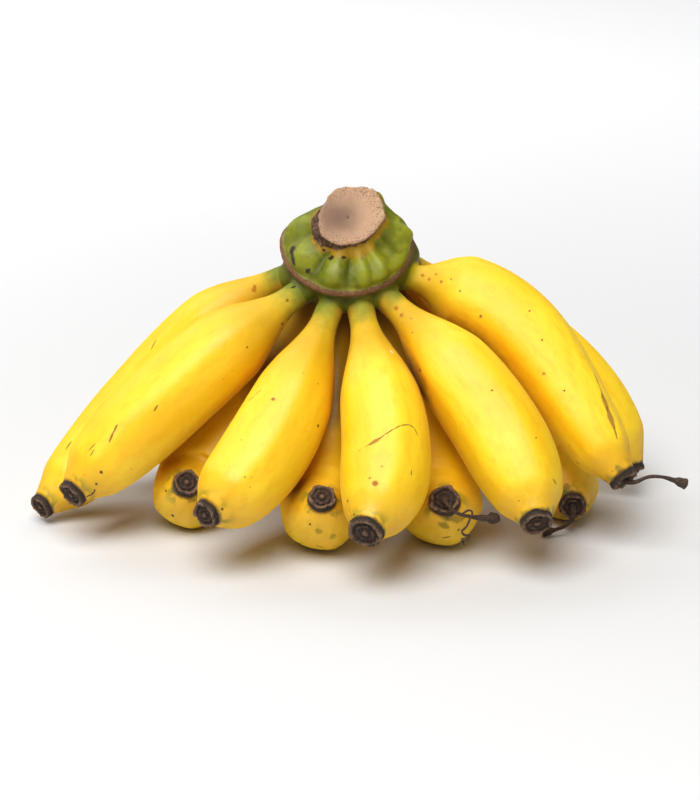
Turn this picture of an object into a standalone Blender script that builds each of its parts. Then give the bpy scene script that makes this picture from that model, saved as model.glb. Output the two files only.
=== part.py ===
"""A hand of small bananas: two rows of fingers grown on one crown.

The hand stands on the flattened bellies of its lower row. The viewer of the photo
is on the -Y side. The layout is made round the crown and then moved, so that the
middle of the whole hand's foot lies at the origin.
"""
import math
from dataclasses import dataclass

import bmesh
import bpy
from mathutils import Vector

MM = 0.001

# Where the crown stands over the table, and how its axis leans to the viewer.
CROWN_HEIGHT = 103.0 * MM
CROWN_TILT = math.radians(56.0)
FOOT_SHIFT = Vector((-2.01 * MM, 24.53 * MM, 0.0))

# The crown's own shape, all in millimetres: distance along its axis from the ring scar,
# reach to the sides, to the front and to the back, depth of the lobes as a share,
# shift to the right, and how far the section leans to the viewer.
CROWN_SIDES = 48
CROWN_LOBES = 12
CROWN_RINGS = (
    (-25.0, 7.5, 7.5, 6.5, 0.00, 0.0, 0.00),
    (-21.0, 12.0, 12.0, 10.0, 0.00, 0.3, 0.00),
    (-11.0, 24.0, 20.0, 15.0, 0.00, 1.2, 0.00),
    (-6.0, 26.4, 23.0, 17.0, 0.01, 1.4, 0.00),
    (-1.4, 24.7, 24.2, 16.4, 0.00, -0.2, 0.00),
    (-0.3, 25.2, 25.6, 16.9, 0.00, -0.5, 0.00),
    (1.0, 25.1, 25.6, 16.9, 0.00, -0.5, 0.00),
    (2.0, 24.3, 24.6, 16.3, 0.01, -0.4, 0.00),
    (4.5, 23.2, 23.2, 15.4, 0.04, 0.2, 0.00),
    (7.5, 20.4, 20.0, 14.0, 0.05, 0.6, 0.00),
    (9.8, 16.2, 16.2, 12.6, 0.04, 0.8, 0.03),
    (11.8, 13.9, 13.9, 12.5, 0.02, 0.6, 0.06),
    (14.0, 12.8, 12.8, 12.8, 0.01, 0.3, 0.10),
    (15.7, 13.0, 13.0, 13.0, 0.00, 0.1, 0.10),
    (16.3, 12.3, 12.3, 12.3, 0.00, 0.1, 0.10),
    (15.8, 10.8, 10.8, 10.8, 0.00, 0.1, 0.10),
)

# Each finger's own stalk leaves the crown's axis at this distance and belongs to the
# crown for this length. It starts inside the crown, so that the two grow together.
ROOT_REACH = {"upper": 21.0, "lower": 13.0}
STALK_LENGTH = {"upper": 10.0, "lower": 11.0}
STALK_BURIED = 9.0
STALK_RADIUS = 5.1
PIECE_GAP = 0.3

# Share of the finger's length, and how far its radius has grown from stalk to full girth.
UPPER_GROWTH = ((0.0, 0.06), (0.09, 0.0), (0.16, 0.08), (0.235, 0.31), (0.32, 0.62), (0.42, 0.87))
LOWER_GROWTH = ((0.0, 0.03), (0.12, 0.0), (0.22, 0.12), (0.32, 0.42), (0.42, 0.72))
# Towards the tip: share of the length and share of the full girth.
UPPER_TAPER = ((0.90, 0.76), (0.96, 0.50))
LOWER_TAPER = ((0.90, 0.80), (0.96, 0.55))
TAPER_START = 0.93

SECTION_SIDES = 15
RIDGES = 5
RIDGE_DEPTH = 0.022
FINGER_RINGS = 14
STATION_EASING = 0.022
FLOOR_BOX = 400.0 * MM


@dataclass(frozen=True)
class Finger:
    """One finger. Lengths in millimetres from the crown's foot point, angles in degrees.

    number: place in the hand, upper row first, each row from left to right.
    row: upper or lower.
    root: bearing of its root round the crown's axis, 0 to the front, positive to the right.
    drop: distance of the root below the ring scar.
    bearing, slope: the way it leaves the crown, round the axis and away from the ring.
    neck: length of its slim part against the row's usual one.
    tip, tip_aim: where its tip is and which way it points, as azimuth and elevation.
    handles: how far it keeps to its first and to its last direction.
    girth, fullest: its greatest radius, and where along its length that is.
    end: its radius at the tip, which is also that of the dried remnant.
    foot: whether it lies on the table.
    waist: its radius between the fullest place and the taper, as a share of the girth.
    blunt: how full its taper is against the row's usual one.
    """

    number: int
    row: str
    root: float
    drop: float
    bearing: float
    slope: float
    neck: float
    tip: tuple
    tip_aim: tuple
    handles: tuple
    girth: float
    fullest: float
    end: float
    foot: bool = False
    waist: float = 0.97
    blunt: float = 1.0


FINGERS = (
    Finger(1, "upper", -70, 10, -95, 30, 0.7, (-115.5, -26, 7.5), (-45, -22), (44, 48), 14.8, 0.55, 4.8),
    Finger(2, "upper", -46, 8, -50, 5, 0.75, (-101, -49, 22), (-42, -28), (46, 36), 15.9, 0.55, 5.4),
    Finger(3, "upper", -14, 8, -20, 5, 1.0, (-50, -79, 26), (-40, -12), (42, 38), 16.0, 0.60, 5.1,
           blunt=1.08),
    Finger(4, "upper", 11, 8, 9, 2, 1.0, (6.7, -91, 24.4), (-22, -18), (42, 38), 16.3, 0.64, 6.2),
    Finger(5, "upper", 35, 8, 40, 2, 0.88, (67.3, -80, 23.7), (10, -28), (46, 40), 16.4, 0.60, 5.7),
    Finger(6, "upper", 66, 9, 86, 8, 0.5, (101, -49, 28), (46, -38), (52, 44), 16.4, 0.42, 5.3,
           waist=0.86, blunt=0.86),
    Finger(7, "upper", 92, 13, 108, 50, 0.9, (110.2, 2, 11.6), (36, -55), (46, 42), 14.6, 0.50, 4.8),
    Finger(8, "lower", -48, 16, -50, 50, 1.0, (-60, -42, 22.2), (12, 45), (44, 39.6), 16.4, 0.66, 4.9, True),
    Finger(9, "lower", -10, 16, -10, 50, 1.0, (-9.4, -66, 26), (4, 50), (44, 42.5), 16.0, 0.66, 4.9, True),
    Finger(10, "lower", 32, 16, 32, 50, 0.86, (35.2, -61, 23.2), (-4, 44), (44, 40), 16.2, 0.66, 5.5, True),
    Finger(11, "lower", 64, 16, 62, 46, 1.0, (84.5, -33, 10.1), (0, 0), (46, 39.6), 16.1, 0.62, 4.9, True),
    Finger(12, "lower", -100, 16, -105, 58, 1.0, (-76, 20, 16.5), (-84, 32), (46, 41), 15.2, 0.62, 4.9, True),
    Finger(13, "lower", 112, 16, 114, 58, 1.0, (72, 36, 16), (108, 33), (46, 42), 15.3, 0.62, 4.9, True),
)

# The dried flower remnant: share of the tip's radius and height over the tip, from its middle out.
BLOSSOM_SIDES = 13
BLOSSOM_PROFILE = (
    (0.0, 2.2), (0.20, 2.1), (0.42, 0.9), (0.66, 1.9), (0.86, 2.4), (1.0, 1.3), (0.9, 0.0), (0.0, 0.0),
)
# The long dried style of three remnants, as offsets from the tip, and the knob at its end.
STYLE_RADIUS = 0.9
STYLE_SIDES = 8
KNOB_RADIUS = 1.9
STYLES = {
    6: (
        (0.0, 0.0, 0.0), (3.0, -2.2, 0.2), (7.5, -3.2, 2.6),
        (12.5, -3.4, 2.9), (17.0, -3.4, 1.6), (20.5, -3.4, 0.2),
    ),
    10: (
        (0.0, 0.0, 0.0), (0.8, -3.6, -0.6), (4.5, -5.0, -3.4),
        (9.5, -5.4, -4.6), (14.5, -5.6, -5.2), (18.0, -5.8, -4.8),
    ),
    11: (
        (0.0, 0.0, 0.0), (-0.2, -3.6, -2.6), (-2.6, -4.8, -5.2),
        (-6.5, -5.2, -6.9), (-10.2, -5.4, -7.6),
    ),
}


def clear_scene():
    """Removes whatever the file opened with."""
    for thing in list(bpy.data.objects):
        bpy.data.objects.remove(thing, do_unlink=True)


def new_collection(name):
    """A collection under the scene's own."""
    group = bpy.data.collections.new(name)
    bpy.context.scene.collection.children.link(group)
    return group


def new_material(name, colour, roughness):
    """A plain Principled material."""
    material = bpy.data.materials.new(name)
    material.use_nodes = True
    shader = material.node_tree.nodes["Principled BSDF"]
    shader.inputs["Base Color"].default_value = (*colour, 1.0)
    shader.inputs["Roughness"].default_value = roughness
    shader.inputs["Metallic"].default_value = 0.0
    return material


def crown_axes():
    """The crown's axis, its forward-down direction and its direction to the right."""
    axis = Vector((0.0, -math.cos(CROWN_TILT), math.sin(CROWN_TILT)))
    down = Vector((0.0, -math.sin(CROWN_TILT), -math.cos(CROWN_TILT)))
    return axis, down, Vector((1.0, 0.0, 0.0))


def crown_centre():
    """The middle of the ring scar."""
    return Vector((0.0, 0.0, CROWN_HEIGHT)) + FOOT_SHIFT


def aim(azimuth, elevation):
    """A direction: azimuth from the viewer's side to the right, elevation over the table."""
    turn = math.radians(azimuth)
    rise = math.radians(elevation)
    return Vector((math.sin(turn) * math.cos(rise), -math.cos(turn) * math.cos(rise), math.sin(rise)))


def smooth_through(knots, share):
    """A smooth curve through (share, value) knots, read at one share."""
    last = len(knots) - 1
    index = 0
    while index < last - 1 and share > knots[index + 1][0]:
        index += 1

    def slope(at):
        before = knots[max(at - 1, 0)]
        after = knots[min(at + 1, last)]
        return (after[1] - before[1]) / (after[0] - before[0])

    left, right = knots[index], knots[index + 1]
    width = right[0] - left[0]
    t = (share - left[0]) / width
    start = (2 * t**3 - 3 * t**2 + 1) * left[1] + (t**3 - 2 * t**2 + t) * width * slope(index)
    end = (3 * t**2 - 2 * t**3) * right[1] + (t**3 - t**2) * width * slope(index + 1)
    return start + end


def radius_knots(finger):
    """The finger's radius along its length, in millimetres."""
    upper = finger.row == "upper"
    growth = UPPER_GROWTH if upper else LOWER_GROWTH
    taper = UPPER_TAPER if upper else LOWER_TAPER
    swell = finger.girth - STALK_RADIUS
    knots = [(share * finger.neck, STALK_RADIUS + grown * swell) for share, grown in growth]
    knots.append((finger.fullest, finger.girth))
    knots.append(((finger.fullest + TAPER_START) / 2, finger.girth * finger.waist))
    knots.extend((share, finger.girth * kept * finger.blunt) for share, kept in taper)
    knots.append((1.0, finger.end))
    return knots


class Centreline:
    """A finger's middle line from its root in the crown to its tip, read by distance."""

    STEPS = 200

    def __init__(self, finger):
        axis, down, right = crown_axes()
        around = math.radians(finger.root)
        spoke = math.cos(around) * down + math.sin(around) * right
        root = crown_centre() + (ROOT_REACH[finger.row] * spoke - finger.drop * axis) * MM
        bearing = math.radians(finger.bearing)
        outward = math.cos(bearing) * down + math.sin(bearing) * right
        slope = math.radians(finger.slope)
        self.leave = math.cos(slope) * outward - math.sin(slope) * axis
        self.arrive = aim(*finger.tip_aim)
        tip = Vector(finger.tip) * MM + FOOT_SHIFT
        first = root + self.leave * finger.handles[0] * MM
        second = tip - self.arrive * finger.handles[1] * MM
        self.points = [self.bezier(root, first, second, tip, i / self.STEPS) for i in range(self.STEPS + 1)]
        self.reached = [0.0]
        for before, after in zip(self.points, self.points[1:]):
            self.reached.append(self.reached[-1] + (after - before).length)
        self.length = self.reached[-1]
        self.tip = tip

    @staticmethod
    def bezier(a, b, c, d, t):
        """A cubic curve's point."""
        return (1 - t)**3 * a + 3 * (1 - t)**2 * t * b + 3 * (1 - t) * t**2 * c + t**3 * d

    def at(self, distance):
        """The point this far from the root; before the root the line goes on straight."""
        if distance <= 0.0:
            return self.points[0] + self.leave * distance
        index = 0
        while index < self.STEPS - 1 and self.reached[index + 1] < distance:
            index += 1
        span = self.reached[index + 1] - self.reached[index]
        return self.points[index].lerp(self.points[index + 1], (distance - self.reached[index]) / span)


def section_curve(name, sides, ridge_depth, hidden):
    """A unit section to sweep: round, or with five soft ridges."""
    data = bpy.data.curves.new(name, "CURVE")
    data.dimensions = "2D"
    spline = data.splines.new("POLY")
    spline.points.add(sides - 1)
    for i in range(sides):
        angle = 2 * math.pi * i / sides
        reach = 1.0 + ridge_depth * math.cos(RIDGES * angle)
        spline.points[i].co = (reach * math.cos(angle), reach * math.sin(angle), 0.0, 1.0)
    spline.use_cyclic_u = True
    section = bpy.data.objects.new(name, data)
    hidden.objects.link(section)
    hide(section)
    return section


def swept_mesh(name, points, radii, section):
    """A capped tube along the points, as a closed mesh, from a curve with a bevel object."""
    data = bpy.data.curves.new(name + "_line", "CURVE")
    data.dimensions = "3D"
    data.twist_mode = "Z_UP"
    data.bevel_mode = "OBJECT"
    data.bevel_object = section
    data.use_fill_caps = True
    data.render_resolution_u = 0
    spline = data.splines.new("POLY")
    spline.points.add(len(points) - 1)
    for knot, point, radius in zip(spline.points, points, radii):
        knot.co = (*point, 1.0)
        knot.radius = radius
    line = bpy.data.objects.new(name + "_line", data)
    bpy.context.scene.collection.objects.link(line)
    bpy.context.view_layer.update()
    seen = line.evaluated_get(bpy.context.evaluated_depsgraph_get())
    mesh = bpy.data.meshes.new_from_object(seen)
    bpy.data.objects.remove(line, do_unlink=True)
    return closed(mesh)


def closed(mesh):
    """Welds a mesh's doubled points and turns its faces outward."""
    work = bmesh.new()
    work.from_mesh(mesh)
    bmesh.ops.remove_doubles(work, verts=work.verts, dist=0.00001)
    bmesh.ops.recalc_face_normals(work, faces=work.faces)
    work.to_mesh(mesh)
    work.free()
    return mesh


def place(name, mesh, collection, material=None):
    """Puts a mesh into a collection as a smooth-shaded object."""
    if material is not None:
        mesh.materials.clear()
        mesh.materials.append(material)
    for face in mesh.polygons:
        face.use_smooth = True
    thing = bpy.data.objects.new(name, mesh)
    collection.objects.link(thing)
    return thing


def hide(thing):
    """Marks a helper object as a cutter that isn't part of the result."""
    thing.hide_render = True
    thing.display_type = "WIRE"


def boolean(target, tool, operation, solver="EXACT"):
    """Adds a Boolean to the target."""
    modifier = target.modifiers.new(operation.lower() + "_" + tool.name, "BOOLEAN")
    modifier.operation = operation
    modifier.solver = solver
    modifier.object = tool


def stalk_stations(finger, line):
    """Distances and radii of the finger's own stalk, as far as it belongs to the crown."""
    end = STALK_LENGTH[finger.row] * MM
    distances = [-STALK_BURIED * MM, 0.0, end / 2, end - 1.0 * MM, end]
    knots = radius_knots(finger)
    radii = [smooth_through(knots, max(d, 0.0) / line.length) * MM for d in distances]
    radii[0] *= 0.8
    return distances, radii


def finger_stations(finger, line):
    """Distances and radii of the finger itself, from its stalk to its tip."""
    start = (STALK_LENGTH[finger.row] + PIECE_GAP) * MM
    distances = [start, start + 1.0 * MM]
    rest = line.length - distances[-1]
    for i in range(1, FINGER_RINGS):
        share = i / (FINGER_RINGS - 1)
        eased = share + STATION_EASING * math.sin(2 * math.pi * share)
        distances.append(distances[1] + rest * eased)
    distances[-1] = line.length
    distances.insert(-1, line.length - 1.6 * MM)
    knots = radius_knots(finger)
    return distances, [smooth_through(knots, d / line.length) * MM for d in distances]


def build_finger(finger, line, section, group, skin, floor):
    """One finger as a swept tube, flattened where it lies on the table."""
    distances, radii = finger_stations(finger, line)
    name = "finger_%02d" % finger.number
    mesh = swept_mesh(name, [line.at(d) for d in distances], radii, section)
    body = place(name, mesh, group, skin)
    if finger.foot:
        boolean(body, floor, "DIFFERENCE")
    return body


def crown_mesh():
    """The crown's lump, lofted through its lobed and round sections."""
    axis, down, right = crown_axes()
    centre = crown_centre()
    work = bmesh.new()
    rows = []
    for height, side, front, back, lobe, aside, lean in CROWN_RINGS:
        row = []
        for i in range(CROWN_SIDES):
            angle = 2 * math.pi * i / CROWN_SIDES
            swell = 1.0 + lobe * math.cos(CROWN_LOBES * angle)
            ahead = math.cos(angle) * swell
            ahead *= front if ahead > 0.0 else back
            across = math.sin(angle) * swell * side + aside
            along = height - lean * ahead
            row.append(work.verts.new(centre + (along * axis + ahead * down + across * right) * MM))
        rows.append(row)
    for lower, upper in zip(rows, rows[1:]):
        for i in range(CROWN_SIDES):
            j = (i + 1) % CROWN_SIDES
            work.faces.new((lower[i], lower[j], upper[j], upper[i]))
    work.faces.new(rows[0])
    work.faces.new(rows[-1])
    bmesh.ops.recalc_face_normals(work, faces=work.faces)
    mesh = bpy.data.meshes.new("crown")
    work.to_mesh(mesh)
    work.free()
    return mesh


def build_crown(lines, section, group, hidden, green):
    """The crown with the first part of every finger's stalk grown onto it."""
    crown = place("crown", crown_mesh(), group, green)
    for finger in FINGERS:
        line = lines[finger.number]
        distances, radii = stalk_stations(finger, line)
        name = "stalk_%02d" % finger.number
        stalk = place(name, swept_mesh(name, [line.at(d) for d in distances], radii, section), hidden)
        hide(stalk)
        boolean(crown, stalk, "UNION", "MANIFOLD")
    return crown


def turned_mesh(name, profile, sides):
    """A closed body of revolution about Z from (radius, height) points in millimetres."""
    mesh = bpy.data.meshes.new(name + "_profile")
    points = [(radius * MM, 0.0, height * MM) for radius, height in profile]
    mesh.from_pydata(points, [(i, i + 1) for i in range(len(points) - 1)], [])
    thing = bpy.data.objects.new(name + "_profile", mesh)
    bpy.context.scene.collection.objects.link(thing)
    turn = thing.modifiers.new("turn", "SCREW")
    turn.steps = sides
    turn.render_steps = sides
    turn.use_merge_vertices = True
    turn.merge_threshold = 0.00001
    bpy.context.view_layer.update()
    seen = thing.evaluated_get(bpy.context.evaluated_depsgraph_get())
    turned = bpy.data.meshes.new_from_object(seen)
    bpy.data.objects.remove(thing, do_unlink=True)
    return closed(turned)


def build_blossom_end(finger, line, round_section, group, hidden, brown):
    """The dried remnant on a finger's tip, three of them with a long style."""
    name = "blossom_end_%02d" % finger.number
    profile = [(share * finger.end, height) for share, height in BLOSSOM_PROFILE]
    mesh = turned_mesh(name, profile, BLOSSOM_SIDES)
    turn = line.arrive.to_track_quat("Z", "Y").to_matrix().to_4x4()
    mesh.transform(turn)
    foot = line.tip + line.arrive * PIECE_GAP * MM
    for vertex in mesh.vertices:
        vertex.co += foot
    remnant = place(name, mesh, group, brown)
    if finger.number in STYLES:
        for helper in style_helpers(finger.number, foot, line.arrive, round_section, hidden):
            boolean(remnant, helper, "UNION")
    return remnant


def style_helpers(number, foot, arrive, round_section, hidden):
    """The style's thread and its knob, ready to be joined to a remnant."""
    start = foot + arrive * 1.6 * MM
    points = [start + Vector(offset) * MM for offset in STYLES[number]]
    name = "style_%02d" % number
    thread = place(name, swept_mesh(name, points, [STYLE_RADIUS * MM] * len(points), round_section), hidden)
    ball = bmesh.new()
    bmesh.ops.create_icosphere(ball, subdivisions=2, radius=KNOB_RADIUS * MM)
    mesh = bpy.data.meshes.new("knob_%02d" % number)
    ball.to_mesh(mesh)
    ball.free()
    for vertex in mesh.vertices:
        vertex.co += points[-1]
    knob = place(mesh.name, mesh, hidden)
    for helper in (thread, knob):
        hide(helper)
    return thread, knob


def floor_cutter(hidden):
    """A box whose top is the table."""
    work = bmesh.new()
    bmesh.ops.create_cube(work, size=FLOOR_BOX)
    for vertex in work.verts:
        vertex.co.z -= FLOOR_BOX / 2
    mesh = bpy.data.meshes.new("table_cutter")
    work.to_mesh(mesh)
    work.free()
    box = place("table_cutter", mesh, hidden)
    hide(box)
    return box


def main():
    """Builds the hand."""
    clear_scene()
    group = new_collection("banana_hand")
    hidden = new_collection("cutters")
    skin = new_material("skin_yellow", (0.83, 0.55, 0.05), 0.42)
    green = new_material("crown_green", (0.22, 0.29, 0.06), 0.55)
    brown = new_material("dried_brown", (0.07, 0.045, 0.03), 0.85)
    section = section_curve("finger_section", SECTION_SIDES, RIDGE_DEPTH, hidden)
    round_section = section_curve("style_section", STYLE_SIDES, 0.0, hidden)
    floor = floor_cutter(hidden)
    lines = {finger.number: Centreline(finger) for finger in FINGERS}
    build_crown(lines, section, group, hidden, green)
    for finger in FINGERS:
        line = lines[finger.number]
        build_finger(finger, line, section, group, skin, floor)
        build_blossom_end(finger, line, round_section, group, hidden, brown)


main()
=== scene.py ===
"""The looks of a hand of small bananas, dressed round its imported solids.

Thirteen ripe fingers in two rows hang on one green crown. Each finger is swept along
its own middle line by Geometry Nodes, the crown is lofted and grown together with the
stalks, and every tip carries its dried flower remnant. Layout sizes are millimetres.
"""

import logging
import math
from dataclasses import dataclass, field, fields
from enum import Enum
from typing import Any, Sequence

import bmesh
import bpy
import numpy as np
from bpy.types import Material, Mesh, Modifier, Node, NodeSocket, NodeTree, Object
from mathutils import Matrix, Vector, noise


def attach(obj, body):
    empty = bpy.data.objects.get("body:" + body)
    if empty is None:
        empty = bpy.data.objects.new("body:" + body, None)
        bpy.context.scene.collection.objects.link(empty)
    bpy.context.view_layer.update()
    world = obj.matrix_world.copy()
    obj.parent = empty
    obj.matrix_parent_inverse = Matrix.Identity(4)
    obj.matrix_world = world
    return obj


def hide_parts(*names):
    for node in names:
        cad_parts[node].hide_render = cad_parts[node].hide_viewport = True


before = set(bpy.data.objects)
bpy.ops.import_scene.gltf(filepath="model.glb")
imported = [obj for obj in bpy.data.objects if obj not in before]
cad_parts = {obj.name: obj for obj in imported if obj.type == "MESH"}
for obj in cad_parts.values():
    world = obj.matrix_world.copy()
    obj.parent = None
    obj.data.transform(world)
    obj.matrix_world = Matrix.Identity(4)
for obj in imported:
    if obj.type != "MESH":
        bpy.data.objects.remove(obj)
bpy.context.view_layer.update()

log = logging.getLogger("banana_hand")

MM = 0.001
BODY = "root"

# Where the crown stands over the table, and how its axis leans to the viewer.
CROWN_TILT = math.radians(56.0)
CROWN_CENTRE = Vector((-2.01, 24.53, 103.0)) * MM
LAYOUT_ORIGIN = Vector((-2.01, 24.53, 0.0)) * MM
CROWN_AXIS = Vector((0.0, -math.cos(CROWN_TILT), math.sin(CROWN_TILT)))
CROWN_AHEAD = Vector((0.0, -math.sin(CROWN_TILT), -math.cos(CROWN_TILT)))
CROWN_RIGHT = Vector((1.0, 0.0, 0.0))

STALK_RADIUS = 5.1
RIDGES = 5.0
TAPER_START = 0.93
ROUND = 2 * math.pi

Colour = tuple[float, float, float, float]
Place = tuple[float, float, float]
Knots = tuple[tuple[float, float], ...]
Feeds = dict[str | int, Any]
Takes = Sequence[tuple[str, str, Any]]
Gives = Sequence[tuple[str, str]]


class Row(Enum):
    """Which of the hand's two rows a finger grows in."""

    UPPER = "upper"
    LOWER = "lower"


@dataclass(frozen=True)
class RowHabit:
    """How the fingers of one row grow.

    root_reach and stalk are millimetres; growth pairs a share of the length with the
    share of swelling reached; taper pairs a share of the length with a share of girth.
    """

    root_reach: float
    stalk: float
    growth: Knots
    taper: Knots


HABITS = {
    Row.UPPER: RowHabit(
        root_reach=21.0,
        stalk=10.0,
        growth=((0.0, 0.06), (0.09, 0.0), (0.16, 0.08), (0.235, 0.31), (0.32, 0.62), (0.42, 0.87)),
        taper=((0.90, 0.76), (0.96, 0.50)),
    ),
    Row.LOWER: RowHabit(
        root_reach=13.0,
        stalk=11.0,
        growth=((0.0, 0.03), (0.12, 0.0), (0.22, 0.12), (0.32, 0.42), (0.42, 0.72)),
        taper=((0.90, 0.80), (0.96, 0.55)),
    ),
}


@dataclass(frozen=True)
class FingerPlan:
    """Where one finger grows and how it swells, as in the part's own source.

    root, drop: where it starts on the crown, as a bearing and a depth below the ring.
    bearing, slope: which way it leaves; neck: length of its slim part.
    tip, tip_aim, handles: where it ends, which way, and how its line bends.
    girth, fullest, end: its greatest radius, where that is, and its tip's radius.
    foot: whether it lies on the table; waist, blunt: how full its far half is.
    """

    number: int
    row: Row
    root: float
    drop: float
    bearing: float
    slope: float
    neck: float
    tip: Place
    tip_aim: tuple[float, float]
    handles: tuple[float, float]
    girth: float
    fullest: float
    end: float
    foot: bool = False
    waist: float = 0.97
    blunt: float = 1.0


U, L = Row.UPPER, Row.LOWER
FINGERS = (
    FingerPlan(1, U, -70, 10, -95, 30, 0.7, (-115.5, -26, 7.5), (-45, -22), (44, 48), 14.8, 0.55, 4.8),
    FingerPlan(2, U, -46, 8, -50, 5, 0.75, (-101, -49, 22), (-42, -28), (46, 36), 15.9, 0.55, 5.4),
    FingerPlan(3, U, -14, 8, -20, 5, 1.0, (-50, -79, 26), (-40, -12), (42, 38), 16.0, 0.60, 5.1,
               blunt=1.08),
    FingerPlan(4, U, 11, 8, 9, 2, 1.0, (6.7, -91, 24.4), (-22, -18), (42, 38), 16.3, 0.64, 6.2),
    FingerPlan(5, U, 35, 8, 40, 2, 0.88, (67.3, -80, 23.7), (10, -28), (46, 40), 16.4, 0.60, 5.7),
    FingerPlan(6, U, 66, 9, 86, 8, 0.5, (101, -49, 28), (46, -38), (52, 44), 16.4, 0.42, 5.3,
               waist=0.86, blunt=0.86),
    FingerPlan(7, U, 92, 13, 108, 50, 0.9, (110.2, 2, 11.6), (36, -55), (46, 42), 14.6, 0.50, 4.8),
    FingerPlan(8, L, -48, 16, -50, 50, 1.0, (-60, -42, 22.2), (12, 45), (44, 39.6), 16.4, 0.66, 4.9, True),
    FingerPlan(9, L, -10, 16, -10, 50, 1.0, (-9.4, -66, 26), (4, 50), (44, 42.5), 16.0, 0.66, 4.9, True),
    FingerPlan(10, L, 32, 16, 32, 50, 0.86, (35.2, -61, 23.2), (-4, 44), (44, 40), 16.2, 0.66, 5.5, True),
    FingerPlan(11, L, 64, 16, 62, 46, 1.0, (84.5, -33, 10.1), (0, 0), (46, 39.6), 16.1, 0.62, 4.9, True),
    FingerPlan(12, L, -100, 16, -105, 58, 1.0, (-76, 20, 16.5), (-84, 32), (46, 41), 15.2, 0.62, 4.9, True),
    FingerPlan(13, L, 112, 16, 114, 58, 1.0, (72, 36, 16), (108, 33), (46, 42), 15.3, 0.62, 4.9, True),
)


class Blemish(Enum):
    """What kind of mark the skin carries."""

    SCRATCH = "scratch"
    SPOT = "spot"
    DOT = "dot"
    BRUISE = "bruise"
    SCAR = "scar"
    STAIN = "stain"
    PALE = "pale"


@dataclass(frozen=True)
class Mark:
    """A mark on a finger's skin, from one place to another.

    start, end: each a distance along the finger from its root in millimetres, and an
    angle round it in degrees.
    width: its half width in millimetres.
    """

    kind: Blemish
    start: tuple[float, float]
    end: tuple[float, float]
    width: float


@dataclass(frozen=True)
class SkinHabit:
    """How one finger's skin differs from the others'.

    ripe_from: millimetres from the root where the green has ended.
    marks: the marks that only this finger has.
    """

    ripe_from: float = 24.0
    marks: tuple[Mark, ...] = ()


SPOT_LENGTH, SPOT_SPREAD = 0.1, 2.6


def spot(kind: Blemish, along: float, around: float, width: float) -> Mark:
    """A round mark at one place, widened because a short mark is all soft edge."""
    return Mark(kind, (along, around), (along + SPOT_LENGTH, around), width * SPOT_SPREAD)


def trail(kind: Blemish, places: Knots, width: float) -> tuple[Mark, ...]:
    """A bent mark through several places."""
    return tuple(Mark(kind, start, end, width) for start, end in zip(places, places[1:]))


SCRATCH, SPOT, DOT = Blemish.SCRATCH, Blemish.SPOT, Blemish.DOT
BRUISE, SCAR, STAIN, PALE = Blemish.BRUISE, Blemish.SCAR, Blemish.STAIN, Blemish.PALE

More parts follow.
